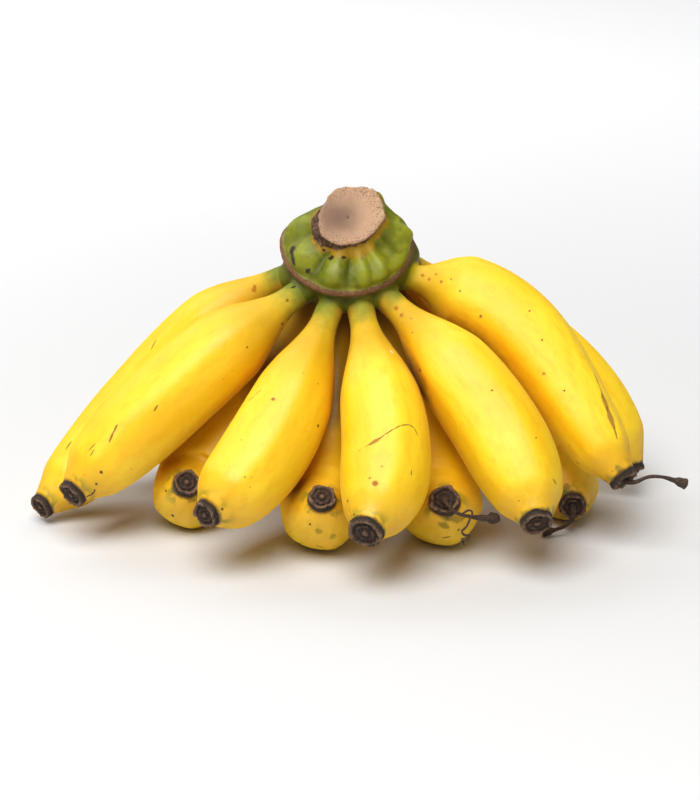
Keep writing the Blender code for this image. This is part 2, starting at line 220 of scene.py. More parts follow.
SKIN_HABITS: dict[int, SkinHabit] = {
    1: SkinHabit(27, (
        spot(BRUISE, 15.7, 52, 1.2), spot(BRUISE, 15.2, 62, 0.7),
        Mark(SCRATCH, (116.5, 82), (112.3, 82.3), 0.6), Mark(SCRATCH, (62, 78), (58, 86), 0.5),
        spot(DOT, 96, 60, 0.3), spot(DOT, 80, 100, 0.3),
    )),
    2: SkinHabit(29, trail(SCRATCH, ((88.4, 82), (91.5, 79), (95.9, 72.9)), 0.7) + (
        Mark(SCRATCH, (105.4, 82.8), (102.2, 83.9), 0.4), Mark(SCRATCH, (100, 90), (104, 92), 0.4),
        spot(DOT, 111.2, 32.8, 0.55), spot(DOT, 107, 48.5, 0.75), spot(SPOT, 17.4, 10, 0.7),
        spot(SPOT, 10.8, 62.9, 0.7), Mark(DOT, (6.4, 99), (4.6, 93), 0.9),
        Mark(SCRATCH, (74.1, 60.9), (71.3, 63.2), 0.5),
    ) + trail(DOT, ((116.4, 8), (114.9, 7.5), (113.4, 13), (112.8, 19.9)), 0.55)),
    3: SkinHabit(30, trail(SCRATCH, ((48.8, 125.8), (52, 131), (54.9, 136.9)), 0.3) + (
        spot(SPOT, 51.7, 99.8, 0.9), spot(DOT, 51.7, 21, 0.6), spot(DOT, 99.7, 45.5, 0.6),
        spot(SPOT, 88, 70, 0.4), spot(SPOT, 74, 110, 0.35),
    )),
    4: SkinHabit(27, trail(SCRATCH, ((73.9, 128), (70.9, 110)), 0.35) + trail(
        SCRATCH, ((69, 100), (67, 92.6), (64.6, 82), (62.6, 72), (61.6, 60), (61.9, 52), (64.2, 45.5)), 0.42
    ) + (
        Mark(SCAR, (71.6, 112), (68.6, 99), 1.3),
        spot(SPOT, 89.6, 96.9, 1.4), spot(PALE, 29.2, 52.3, 0.8), spot(SPOT, 82.2, 92.1, 0.35),
        spot(SPOT, 87.6, 107, 0.5), spot(DOT, 93.7, 158, 0.5), spot(DOT, 99.7, 146.1, 0.45),
        Mark(SCRATCH, (79.4, 51.1), (81.3, 49.2), 0.4), spot(STAIN, 101, 69, 1.2),
        Mark(SCRATCH, (96, 166), (102, 160), 0.5),
    )),
    5: SkinHabit(22, (
        spot(BRUISE, 15.2, 122.9, 1.1), spot(SPOT, 37.3, 158, 0.8), spot(DOT, 61.9, 91, 0.45),
        Mark(SCRATCH, (101.1, 49.9), (102.2, 38.5), 0.5), spot(BRUISE, 11.5, 118, 0.9),
        spot(SPOT, 19, 108, 0.4), spot(SPOT, 24, 130, 0.4), spot(DOT, 86, 70, 0.35),
    )),
    6: SkinHabit(13, (
        spot(SPOT, 37.2, 144.7, 0.8), spot(SPOT, 50.8, 96.9, 0.5), spot(SPOT, 62.6, 111, 0.5),
        spot(BRUISE, 73.7, 135.7, 0.7), spot(DOT, 83.4, 125.1, 0.4), spot(BRUISE, 8.5, 112.3, 0.8),
        spot(BRUISE, 11, 122.8, 0.7), spot(BRUISE, 15.8, 122.7, 0.7), spot(BRUISE, 13, 105, 0.6),
        spot(BRUISE, 19, 114, 0.5), spot(SPOT, 24, 128, 0.5),
    ) + trail(SCRATCH, ((82, 62), (88, 68), (93, 73)), 0.4) + (
        Mark(SCAR, (90.5, 71), (97.5, 76.5), 1.5), Mark(SCAR, (96.5, 75.5), (104.5, 81.5), 1.6),
        Mark(SCRATCH, (104, 81), (108.5, 86), 0.5), Mark(STAIN, (119.5, 106), (118.6, 125), 2.6),
        Mark(STAIN, (119, 112), (119.2, 142), 2.2), spot(STAIN, 117.2, 120, 1.4),
    )),
    7: SkinHabit(20),
    8: SkinHabit(24, (
        spot(DOT, 106.5, -106.1, 0.7), spot(DOT, 111, -156.7, 0.5), spot(SPOT, 113.3, 122.3, 0.6),
        Mark(STAIN, (114.5, -160), (113.5, -120), 2.2), Mark(STAIN, (113.5, -82), (112, -50), 1.8),
    )),
    9: SkinHabit(24, (
        Mark(STAIN, (111.5, -110), (110.6, -60), 2.4), spot(STAIN, 104.5, -98, 1.6),
        spot(STAIN, 102.4, -70, 1.4), spot(DOT, 106, -120, 0.5), Mark(SCRATCH, (98, -100), (97, -86), 0.4),
    )),
    10: SkinHabit(24, (
        Mark(STAIN, (112.6, -105), (110.5, -80), 2.2), Mark(STAIN, (110.5, -70), (107.7, -33), 2.2),
        Mark(STAIN, (108.1, -85), (109.2, -104), 1.8), Mark(SCRATCH, (104, -96), (104.6, -80), 0.5),
        spot(DOT, 106, -62, 0.5),
    )),
    11: SkinHabit(24, (
        Mark(STAIN, (126, 135), (125, 100), 3), Mark(STAIN, (124, 122), (122, 104), 2),
        spot(STAIN, 125, 60, 1.6),
    )),
    12: SkinHabit(24),
    13: SkinHabit(24),
}


def aim(azimuth: float, elevation: float) -> Vector:
    """A direction from its azimuth and elevation.

    Args:
        azimuth: degrees from the viewer's side to the right.
        elevation: degrees over the table.

    Returns:
        The unit vector.
    """
    turn, rise = math.radians(azimuth), math.radians(elevation)
    return Vector((math.sin(turn) * math.cos(rise), -math.cos(turn) * math.cos(rise), math.sin(rise)))


def smooth_through(knots: Sequence[tuple[float, float]], share: float) -> float:
    """Reads a smooth curve through knots.

    Args:
        knots: pairs of share and value, in rising order of share.
        share: where to read it.

    Returns:
        The curve's value there.
    """
    last = len(knots) - 1
    index = 0
    while index < last - 1 and share > knots[index + 1][0]:
        index += 1

    def slope(at: int) -> float:
        """The curve's slope at a knot."""
        before, after = knots[max(at - 1, 0)], knots[min(at + 1, last)]
        return (after[1] - before[1]) / (after[0] - before[0])

    left, right = knots[index], knots[index + 1]
    width = right[0] - left[0]
    t = (share - left[0]) / width
    start = (2 * t**3 - 3 * t**2 + 1) * left[1] + (t**3 - 2 * t**2 + t) * width * slope(index)
    end = (3 * t**2 - 2 * t**3) * right[1] + (t**3 - t**2) * width * slope(index + 1)
    return start + end


def corners(knots: Sequence[Any], knot: int) -> list[Any]:
    """The four knots round the span that starts at one of them, the outer ones repeated."""
    last = len(knots) - 1
    return [knots[min(max(knot + k, 0), last)] for k in (-1, 0, 1, 2)]


def spline(four: Sequence[Any], t: float) -> Any:
    """A smooth curve through the middle two of four corners, which may be numbers or vectors."""
    a, b, c, d = four
    return 0.5 * (2 * b + (c - a) * t + (2 * a - 5 * b + 4 * c - d) * t**2 + (3 * b - a - 3 * c + d) * t**3)


def smoothstep(low: float, high: float, value: np.ndarray | float) -> np.ndarray:
    """A soft step from 0 at low to 1 at high.

    Args:
        low: where the step starts.
        high: where it ends; lower than low for a falling step.
        value: what is stepped.

    Returns:
        The step's height for each value.
    """
    t = np.clip((np.asarray(value, float) - low) / (high - low), 0.0, 1.0)
    return t * t * (3.0 - 2.0 * t)


class Centreline:
    """A finger's middle line from its root in the crown to its tip, with a turning frame."""

    STEPS = 200

    def __init__(self, plan: FingerPlan) -> None:
        """Draws the line.

        Args:
            plan: the finger's layout.
        """
        self.plan = plan
        habit = HABITS[plan.row]
        around = math.radians(plan.root)
        spoke = math.cos(around) * CROWN_AHEAD + math.sin(around) * CROWN_RIGHT
        root = CROWN_CENTRE + (habit.root_reach * spoke - plan.drop * CROWN_AXIS) * MM
        bearing, slope = math.radians(plan.bearing), math.radians(plan.slope)
        outward = math.cos(bearing) * CROWN_AHEAD + math.sin(bearing) * CROWN_RIGHT
        self.leave = math.cos(slope) * outward - math.sin(slope) * CROWN_AXIS
        self.arrive = aim(*plan.tip_aim)
        self.tip = Vector(plan.tip) * MM + LAYOUT_ORIGIN
        first = root + self.leave * plan.handles[0] * MM
        second = self.tip - self.arrive * plan.handles[1] * MM
        shares = [i / self.STEPS for i in range(self.STEPS + 1)]
        self.points = [self.bezier(root, first, second, self.tip, t) for t in shares]
        self.reached = [0.0]
        for before, after in zip(self.points, self.points[1:]):
            self.reached.append(self.reached[-1] + (after - before).length)
        self.length = self.reached[-1]
        self.knots = self.radius_knots()
        self.sides = self.turning_frame()

    @staticmethod
    def bezier(a: Vector, b: Vector, c: Vector, d: Vector, t: float) -> Vector:
        """A cubic curve's point."""
        return (1 - t)**3 * a + 3 * (1 - t)**2 * t * b + 3 * (1 - t) * t**2 * c + t**3 * d

    def radius_knots(self) -> list[tuple[float, float]]:
        """The finger's radius in millimetres at shares of its length."""
        plan, habit = self.plan, HABITS[self.plan.row]
        swell = plan.girth - STALK_RADIUS
        knots = [(share * plan.neck, STALK_RADIUS + grown * swell) for share, grown in habit.growth]
        knots.append((plan.fullest, plan.girth))
        knots.append(((plan.fullest + TAPER_START) / 2, plan.girth * plan.waist))
        knots.extend((share, plan.girth * kept * plan.blunt) for share, kept in habit.taper)
        knots.append((1.0, plan.end))
        return knots

    def radius(self, distance: float) -> float:
        """The radius in metres at a distance from the root."""
        share = min(max(distance / self.length, 0.0), 1.0)
        return smooth_through(self.knots, share) * MM

    def tangent(self, index: int) -> Vector:
        """The line's direction at one of its points."""
        before = self.points[max(index - 1, 0)]
        after = self.points[min(index + 1, self.STEPS)]
        return (after - before).normalized()

    def turning_frame(self) -> list[Vector]:
        """A sideways direction at each point, carried along the line without twist."""
        start = CROWN_AXIS.cross(self.leave)
        side = (start - start.dot(self.tangent(0)) * self.tangent(0)).normalized()
        sides = [side]
        for index in range(1, self.STEPS + 1):
            along = self.tangent(index)
            side = (side - side.dot(along) * along).normalized()
            sides.append(side)
        return sides

    def station(self, distance: float) -> tuple[Vector, Vector, Vector]:
        """Reads the line.

        Args:
            distance: metres from the root; below 0 the line goes on straight.

        Returns:
            The point, the sideways direction and the direction that completes them.
        """
        if distance <= 0.0:
            side = self.sides[0]
            return self.points[0] + self.leave * distance, side, self.tangent(0).cross(side)
        index = 0
        while index < self.STEPS - 1 and self.reached[index + 1] < distance:
            index += 1
        span = self.reached[index + 1] - self.reached[index]
        share = min((distance - self.reached[index]) / span, 1.0)
        point = self.points[index].lerp(self.points[index + 1], share)
        side = self.sides[index].lerp(self.sides[index + 1], share).normalized()
        along = self.tangent(index).lerp(self.tangent(index + 1), share).normalized()
        return point, side, along.cross(side)

    def straightened(self, along: float, around: float) -> tuple[float, float, float]:
        """A place on the skin in the straightened finger, in millimetres.

        Args:
            along: millimetres from the root.
            around: degrees round the finger.

        Returns:
            The place as the skin's own coordinates have it.
        """
        reach = self.radius(along * MM) / MM
        turn = math.radians(around)
        return reach * math.cos(turn), reach * math.sin(turn), along


class Value:
    """One socket of a sketch, which can be added to and multiplied like a number."""

    def __init__(self, sketch: "Sketch", socket: NodeSocket) -> None:
        """Holds the socket and the sketch that it is in."""
        self.sketch = sketch
        self.socket = socket

    def __add__(self, other: Any) -> "Value":
        """This and another."""
        return self.sketch.sum("ADD", self, other)

    def __sub__(self, other: Any) -> "Value":
        """This less another."""
        return self.sketch.sum("SUBTRACT", self, other)

    def __rsub__(self, other: Any) -> "Value":
        """A number less this."""
        return self.sketch.sum("SUBTRACT", other, self)

    def __mul__(self, other: Any) -> "Value":
        """This times another."""
        return self.sketch.sum("MULTIPLY", self, other)

    __radd__ = __add__


class Sketch:
    """Adds nodes to one tree and joins them, so that a tree reads like a sum."""

    def __init__(self, tree: NodeTree) -> None:
        """Starts on a tree."""
        self.tree = tree

    def feed(self, socket: NodeSocket, value: Any) -> None:
        """Links another socket to an input, or sets its constant."""
        if isinstance(value, Value):
            value = value.socket
        if isinstance(value, NodeSocket):
            self.tree.links.new(value, socket)
        else:
            socket.default_value = value

    def node(self, kind: str, feeds: Feeds | None = None, **options: Any) -> Node:
        """Adds a node.

        Args:
            kind: the node's type.
            feeds: what goes into its inputs, by name or place.
            options: its settings.

        Returns:
            The node.
        """
        made = self.tree.nodes.new(kind)
        for name, value in options.items():
            setattr(made, name, value)
        for key, value in (feeds or {}).items():
            self.feed(made.inputs[key], value)
        return made

    def read(self, kind: str, feeds: Feeds | None = None, output: str | int = 0, **options: Any) -> Value:
        """Adds a node and gives one of its outputs."""
        return Value(self, self.node(kind, feeds, **options).outputs[output])

    def attribute(self, name: str, output: str = "Fac") -> Value:
        """What the surface's points carry under a name."""
        return self.read("ShaderNodeAttribute", output=output, attribute_name=name)

    def solid(self) -> Value:
        """The place in the object, in metres."""
        return self.read("ShaderNodeTexCoord", output="Object")

    def sum(self, operation: str, *terms: Any, clamp: bool = False) -> Value:
        """A Math node's result."""
        return self.read("ShaderNodeMath", dict(enumerate(terms)), operation=operation, use_clamp=clamp)

    def vector(self, operation: str, *terms: Any) -> Value:
        """A Vector Math node's result; a scale is given as the second term."""
        places = (0, 3) if operation == "SCALE" else (0, 1)
        number = operation in ("DOT_PRODUCT", "LENGTH", "DISTANCE")
        return self.read("ShaderNodeVectorMath", dict(zip(places, terms)), int(number), operation=operation)

    def squeezed(self, place: Value, share: float) -> Value:
        """Coordinates squeezed along the third axis, so that noise comes out drawn along it."""
        return self.vector("MULTIPLY", place, (1.0, 1.0, share))

    def triple(self, *numbers: Any) -> Value:
        """A vector made of numbers."""
        return self.read("ShaderNodeCombineXYZ", dict(enumerate(numbers)))

    def step(self, value: Any, low: Any, high: Any) -> Value:
        """A soft step from 0 at low to 1 at high."""
        feeds = {"Value": value, "From Min": low, "From Max": high}
        return self.read("ShaderNodeMapRange", feeds, interpolation_type="SMOOTHSTEP")

    def blend(self, share: Any, first: Any, second: Any) -> Value:
        """One colour laid over another."""
        return self.read("ShaderNodeMix", {0: share, 6: first, 7: second}, 2, data_type="RGBA")

    def lerp(self, share: Any, first: Any, second: Any) -> Value:
        """One number faded into another."""
        return self.read("ShaderNodeMix", {0: share, 2: first, 3: second}, data_type="FLOAT")

    def cloud(self, place: Value, scale: Any, detail: float = 3.0, roughness: float = 0.5) -> Value:
        """Soft noise between 0 and 1."""
        feeds = {"Vector": place, "Scale": scale, "Detail": detail, "Roughness": roughness}
        return self.read("ShaderNodeTexNoise", feeds)

    def parts(self, vector: Any) -> tuple[Value, ...]:
        """A vector's three numbers."""
        made = self.node("ShaderNodeSeparateXYZ", {0: vector})
        return tuple(Value(self, socket) for socket in made.outputs)

    def group(self, tree: NodeTree, feeds: dict[str, Any]) -> tuple[Value, ...]:
        """Places a shared group with its own values and gives its outputs in their order."""
        made = self.tree.nodes.new("ShaderNodeGroup")
        made.node_tree = tree
        for name, value in feeds.items():
            self.feed(made.inputs[name], value)
        return tuple(Value(self, socket) for socket in made.outputs)

    def open(self, takes: Takes, gives: Gives) -> dict[str, Value]:
        """Makes the tree's own sockets.

        Args:
            takes: name, kind and default of each input.
            gives: name and kind of each output.

        Returns:
            The inputs by name.
        """
        for label, kind, default in takes:
            socket = self.tree.interface.new_socket(label, in_out="INPUT", socket_type="NodeSocket" + kind)
            if default is not None:
                socket.default_value = default
        for label, kind in gives:
            self.tree.interface.new_socket(label, in_out="OUTPUT", socket_type="NodeSocket" + kind)
        inputs = self.node("NodeGroupInput").outputs
        return {label: Value(self, inputs[label]) for label, _, _ in takes}


def colour(red: float, green: float, blue: float) -> Colour:
    """A linear colour as a socket takes it, from the eye's 0 to 255 scale."""

    def linear(value: float) -> float:
        """One channel made linear."""
        share = value / 255.0
        return share / 12.92 if share <= 0.04045 else ((share + 0.055) / 1.055) ** 2.4

    return linear(red), linear(green), linear(blue), 1.0


def shader_group(name: str, takes: Takes, gives: Gives) -> tuple[Sketch, dict[str, Value], Node]:
    """Starts a shared effect.

    Args:
        name: the group's name.
        takes: name, kind and default of each input.
        gives: name and kind of each output.

    Returns:
        A sketch on the group, its inputs by name and its output node.
    """
    sketch = Sketch(bpy.data.node_groups.new(name, "ShaderNodeTree"))
    take = sketch.open(takes, gives)
    return sketch, take, sketch.node("NodeGroupOutput")


BLACK, WHITE = (0.0, 0.0, 0.0, 1.0), (1.0, 1.0, 1.0, 1.0)


class Effects:
    """The effects that several of the hand's finishes share, built once."""

    def __init__(self) -> None:
        """Builds every group."""
        self.ripening = self.build_ripening()
        self.speckle = self.build_speckle()
        self.mark = self.build_mark()
        self.crust = self.build_crust()

    @staticmethod
    def build_ripening() -> NodeTree:
        """The change from green stalk to ripe skin along a finger."""
        sketch, take, result = shader_group(
            "stalk_ripening",
            (("Along", "Float", 0.0), ("Place", "Vector", None), ("Green Until", "Float", 8.0),
             ("Ripe From", "Float", 24.0), ("Green", "Color", BLACK), ("Ripe", "Color", WHITE)),
            (("Color", "Color"), ("Green Share", "Float")),
        )
        ragged = sketch.cloud(take["Place"], 160.0, 3.0, 0.55)
        shift = (ragged - 0.5) * 16.0
        reached = take["Along"] + shift
        ripe = sketch.step(reached, take["Green Until"], take["Ripe From"])
        lime = sketch.blend(sketch.sum("POWER", ripe, 0.7), take["Green"], take["Ripe"])
        sketch.feed(result.inputs["Color"], lime)
        sketch.feed(result.inputs["Green Share"], 1.0 - ripe)
        return sketch.tree

    @staticmethod
    def build_speckle() -> NodeTree:
        """Scattered small dots, only some cells of a loose pattern carrying one."""
        sketch, take, result = shader_group(
            "skin_speckle",
            (("Place", "Vector", None), ("Cells", "Float", 0.2), ("Size", "Float", 0.1),
             ("Share", "Float", 0.4)),
            (("Mask", "Float"),),
        )
        cells = sketch.node("ShaderNodeTexVoronoi", {"Vector": take["Place"], "Scale": take["Cells"]})
        chosen = sketch.parts(cells.outputs["Color"])
        size = take["Size"] * (chosen[1] + 0.3)
        inner = size * 0.45
        dot = 1.0 - sketch.step(cells.outputs["Distance"], inner, size)
        carries = sketch.sum("LESS_THAN", chosen[0], take["Share"])
        sketch.feed(result.inputs["Mask"], dot * carries)
        return sketch.tree

    @staticmethod
    def build_mark() -> NodeTree:
        """A mark between two places on the skin, with a wavering edge."""
        sketch, take, result = shader_group(
            "skin_mark",
            (("Place", "Vector", None), ("Start", "Vector", None), ("End", "Vector", None),
             ("Width", "Float", 0.5), ("Waver", "Float", 0.5)),
            (("Mask", "Float"),),
        )
        wave = sketch.read("ShaderNodeTexNoise", {"Vector": take["Place"], "Scale": 0.45, "Detail": 3.0}, 1)
        sway = sketch.vector("SCALE", sketch.vector("SUBTRACT", wave, (0.5, 0.5, 0.5)), take["Waver"])
        here = sketch.vector("ADD", take["Place"], sway)
        span = sketch.vector("SUBTRACT", take["End"], take["Start"])
        away = sketch.vector("SUBTRACT", here, take["Start"])
        square = sketch.sum("MAXIMUM", sketch.vector("DOT_PRODUCT", span, span), 0.0001)
        share = sketch.sum("DIVIDE", sketch.vector("DOT_PRODUCT", away, span), square, clamp=True)
        nearest = sketch.vector("SCALE", span, share)
        gap = sketch.vector("LENGTH", sketch.vector("SUBTRACT", away, nearest))
        thin = share * (1.0 - share)
        width = take["Width"] * (0.45 + thin * 2.2)
        mask = 1.0 - sketch.step(gap, width * 0.35, width)
        sketch.feed(result.inputs["Mask"], mask)
        return sketch.tree

    def mark_on(
        self, sketch: Sketch, place: Value, start: Place, end: Place, width: float, waver: float
    ) -> Value:
        """The mask of one mark."""
        feeds = {"Place": place, "Start": start, "End": end, "Width": width, "Waver": waver}
        return sketch.group(self.mark, feeds)[0]

    @staticmethod
    def build_crust() -> NodeTree:
        """Dry, cracked plant tissue: its colour and its height."""
        sketch, take, result = shader_group(
            "dry_crust",
            (("Place", "Vector", None), ("Scale", "Float", 1.0), ("Dark", "Color", BLACK),
             ("Light", "Color", WHITE)),
            (("Color", "Color"), ("Height", "Float")),
        )
        rough = sketch.cloud(take["Place"], take["Scale"] * 0.8, 6.0, 0.65)
        cells = sketch.node(
            "ShaderNodeTexVoronoi",
            {"Vector": take["Place"], "Scale": take["Scale"] * 1.3},
            feature="DISTANCE_TO_EDGE",
        )
        cracks = sketch.step(cells.outputs["Distance"], 0.0, 0.16)
        height = rough * sketch.lerp(cracks, 0.45, 1.0)
        tone = sketch.step(height, 0.22, 0.72)
        sketch.feed(result.inputs["Color"], sketch.blend(tone, take["Dark"], take["Light"]))
        sketch.feed(result.inputs["Height"], height)
        return sketch.tree


def new_material(name: str) -> tuple[Material, Sketch, Node]:
    """Starts a material.

    Args:
        name: its name.

    Returns:
        The material, a sketch on its tree and its Principled shader.
    """
    material = bpy.data.materials.new(name)
    material.use_nodes = True
    return material, Sketch(material.node_tree), material.node_tree.nodes["Principled BSDF"]


def crown_place(sketch: Sketch) -> Value:
    """The place in the crown in millimetres: to the right, away from the viewer, along its axis."""
    turn = Matrix.Rotation(CROWN_TILT - math.pi / 2, 3, "X")
    shift = -(turn @ (CROWN_CENTRE / MM))
    return sketch.read(
        "ShaderNodeMapping",
        {"Vector": sketch.solid(), "Location": shift, "Rotation": turn.to_euler(), "Scale": (1 / MM,) * 3},
    )


GREEN = colour(112, 120, 18)
RIPE = colour(246, 193, 4)
GREEN_SHARE = 0.15
USUAL_RIPE = 20.0
OFF_STALK = -20.0
LEAN = 0.10
INNER_FINGERS = (8, 9, 10, 11)
PATTERN_STEP = Vector((37.0, 11.0, 0.0))


def bump(sketch: Sketch, shader: Node, height: Value, strength: float, distance: float) -> None:
    """Turns a height into fine relief on a shader."""
    feeds = {"Height": height, "Strength": strength, "Distance": distance}
    sketch.feed(shader.inputs["Normal"], sketch.read("ShaderNodeBump", feeds))


def soft_flesh(shader: Node, weight: float, radius: Place, specular: float) -> None:
    """Lets light into a surface a little and sets how strongly it mirrors."""
    shader.inputs["Specular IOR Level"].default_value = specular
    shader.inputs["Subsurface Weight"].default_value = weight
    shader.inputs["Subsurface Radius"].default_value = radius
    shader.inputs["Subsurface Scale"].default_value = 0.002


@dataclass(frozen=True)
class SkinFinish:
    """Ripe banana skin: waxy yellow, green at both ends, with freckles and its own marks, and painted shade
    on the necks, between the fingers and on the inner fingers.
    """

    ripe: Colour = RIPE
    pale: Colour = colour(252, 212, 36)
    deep: Colour = colour(240, 170, 2)
    green: Colour = GREEN
    dusty: Colour = colour(208, 150, 24)
    brown: Colour = colour(84, 46, 16)
    rust: Colour = colour(164, 84, 24)
    olive: Colour = colour(70, 68, 14)
    # inside: painted shade colour for the inner fingers' upper parts, which the rows above shade.
    inside: Colour = colour(120, 82, 12)
    # neck: painted shade colour for the slim necks that the crown shades.
    neck: Colour = colour(206, 158, 0)
    # Painted shade colours for the grooves where fingers lie close together.
    contact_shade_orange: Colour = colour(226, 146, 4)
    groove_shade: Colour = colour(120, 72, 10)
    roughness: float = 0.48
    patchiness: float = 0.06

    def build(self, effects: Effects, line: Centreline) -> Material:
        """Makes one finger's material.

        Args:
            effects: the shared groups.
            line: the finger's middle line, which places its marks.

        Returns:
            The material.
        """
        plan = line.plan
        habit = SKIN_HABITS[plan.number]
        material, sketch, shader = new_material("banana_skin_%02d" % plan.number)
        place = sketch.attribute("skin_at", "Vector")
        shifted = sketch.vector("ADD", place, plan.number * PATTERN_STEP)
        along = sketch.parts(place)[2]
        shade = self.skin_colour(sketch, shifted)
        shade, green_share = sketch.group(
            effects.ripening,
            {"Along": along, "Place": sketch.solid(), "Green Until": habit.ripe_from * GREEN_SHARE,
             "Ripe From": habit.ripe_from, "Green": self.green, "Ripe": shade},
        )
        # Painted shade: the inner lower-row fingers are coloured dark brown towards their roots, where the
        # upper row shades them.
        if plan.number in INNER_FINGERS:
            reached = along + sketch.cloud(shifted, 0.1, 3.0) * 14.0
            inside = sketch.step(reached, 66.0, 46.0) * 0.85
            shade = sketch.blend(inside, shade, self.inside)
        shade = self.painted_neck_shade(sketch, shade, shifted, along, habit.ripe_from)
        shade = self.painted_contact_shade(sketch, shade, shifted)
        shade = self.tip_tint(sketch, shade, shifted, along, line.length / MM)
        shade, dots = self.freckles(sketch, effects, shade, shifted)
        shade, marks = self.own_marks(sketch, effects, shade, place, line)
        sketch.feed(shader.inputs["Base Color"], shade)
        sunk = sketch.sum("MAXIMUM", dots, marks)
        least, most = self.roughness - self.patchiness, self.roughness + self.patchiness
        matt = sketch.lerp(sketch.cloud(shifted, 0.12, 3.0), least, most)
        matt = matt + sunk * 0.25 + green_share * 0.15 + sketch.step(along, 34.0, 12.0) * 0.15
        facing = sketch.read("ShaderNodeLayerWeight", {"Blend": 0.5}, "Facing")
        sketch.feed(shader.inputs["Roughness"], sketch.lerp(sketch.step(facing, 0.5, 0.95), matt, 0.95))
        soft_flesh(shader, 0.12, (1.0, 0.55, 0.12), 0.5)
        self.relief(sketch, shader, shifted, sunk)
        return material

    def skin_colour(self, sketch: Sketch, place: Value) -> Value:
        """Slow drifts between pale, ripe and deep yellow, drawn out along the finger."""
        drawn = sketch.squeezed(place, 0.35)
        slow = sketch.step(sketch.cloud(drawn, 0.045, 2.0), 0.35, 0.68)
        fine = sketch.step(sketch.cloud(drawn, 0.35, 4.0, 0.6), 0.42, 0.75)
        shade = sketch.blend(slow, self.ripe, self.pale)
        return sketch.blend(fine * 0.45, shade, self.deep)

    def painted_neck_shade(
        self, sketch: Sketch, shade: Value, place: Value, along: Value, ripe_from: float
    ) -> Value:
        """Painted shade on the slim neck under the crown: a deeper ochre between the green and the full
        yellow.
        """
        reached = along + sketch.cloud(place, 0.2, 3.0) * 8.0
        starts = sketch.step(along, ripe_from * 0.3, ripe_from * 0.8)
        ends = sketch.step(reached, ripe_from + 22.0, ripe_from - 6.0)
        return sketch.blend(starts * ends * 0.85, shade, self.neck)

    def painted_contact_shade(self, sketch: Sketch, shade: Value, place: Value) -> Value:
        """Painted shade: deeper orange and darker brown skin where the fingers lie against each other,
        darkest where they nearly touch.
        """
        uneven = sketch.attribute("gap") + (sketch.cloud(place, 0.3, 3.0) - 0.5) * 1.6
        shade = sketch.blend(sketch.step(uneven, 8.0, 0.8) * 0.6, shade, self.contact_shade_orange)
        return sketch.blend(sketch.step(uneven, 4.2, 0.9) * 0.8, shade, self.groove_shade)

    def tip_tint(self, sketch: Sketch, shade: Value, place: Value, along: Value, length: float) -> Value:
        """Dusty and greenish skin round the dried remnant."""
        cloudy = sketch.cloud(place, 0.16, 4.0, 0.6)
        far = along + cloudy * 9.0
        dusty = sketch.step(far, length - 10.0, length + 4.0) * 0.55
        shade = sketch.blend(dusty, shade, self.dusty)
        patch = sketch.step(sketch.cloud(place, 0.22, 3.0), 0.46, 0.62)
        near = sketch.step(along, length - 5.5, length - 0.5) * patch
        shade = sketch.blend(near * 0.75, shade, self.green)
        edge = sketch.step(along + cloudy * 1.2, length - 0.7, length + 0.7)
        return sketch.blend(edge, shade, self.brown)

    def freckles(self, sketch: Sketch, effects: Effects, shade: Value, place: Value) -> tuple[Value, Value]:
        """Small brown dots and a few short dark strokes."""

        def dots(place: Value, cells: float, size: float, share: float) -> Value:
            """Dots of one kind."""
            feeds = {"Place": place, "Cells": cells, "Size": size, "Share": share}
            return sketch.group(effects.speckle, feeds)[0]

        weak = dots(place, 0.30, 0.12, 0.30) * 0.42
        shade = sketch.blend(weak, shade, self.rust)
        strokes = dots(sketch.squeezed(place, 0.22), 0.09, 0.035, 0.22)
        bold = sketch.sum("MAXIMUM", dots(place, 0.085, 0.055, 0.35), strokes)
        shade = sketch.blend(bold * 0.8, shade, self.brown)
        return shade, sketch.sum("MAXIMUM", weak, bold)

    def own_marks(
        self, sketch: Sketch, effects: Effects, shade: Value, place: Value, line: Centreline
    ) -> tuple[Value, Any]:
        """The marks that this finger has in particular."""
        tints = {
            SCRATCH: (colour(112, 62, 18), 0.85, 0.5),
            SPOT: (colour(138, 66, 28), 0.85, 0.4),
            DOT: (colour(40, 26, 14), 0.95, 0.4),
            BRUISE: (self.rust, 0.75, 1.4),
            SCAR: (colour(140, 84, 26), 0.8, 1.0),
            STAIN: (self.olive, 0.5, 2.2),
            PALE: (colour(246, 240, 214), 0.8, 0.3),
        }
        total: Any = 0.0
        for mark in SKIN_HABITS[line.plan.number].marks:
            tint, strength, waver = tints[mark.kind]
            start, end = line.straightened(*mark.start), line.straightened(*mark.end)
            made = effects.mark_on(sketch, place, start, end, mark.width, waver)
            shade = sketch.blend(made * strength, shade, tint)
            total = sketch.sum("MAXIMUM", total, made)
        return shade, total

    def relief(self, sketch: Sketch, shader: Node, place: Value, sunk: Value) -> None:
        """Pores, faint lengthwise lines and sunken marks, as bump."""
        lines = sketch.cloud(sketch.squeezed(place, 0.15), 0.9, 2.0)
        pores, soft = sketch.cloud(place, 2.4, 3.0), sketch.cloud(place, 0.14, 2.0)
        bump(sketch, shader, lines * 0.35 + pores * 0.10 + soft * 1.6 - sunk * 0.5, 0.35, 0.0004)


SECOND_CREST = 0.22


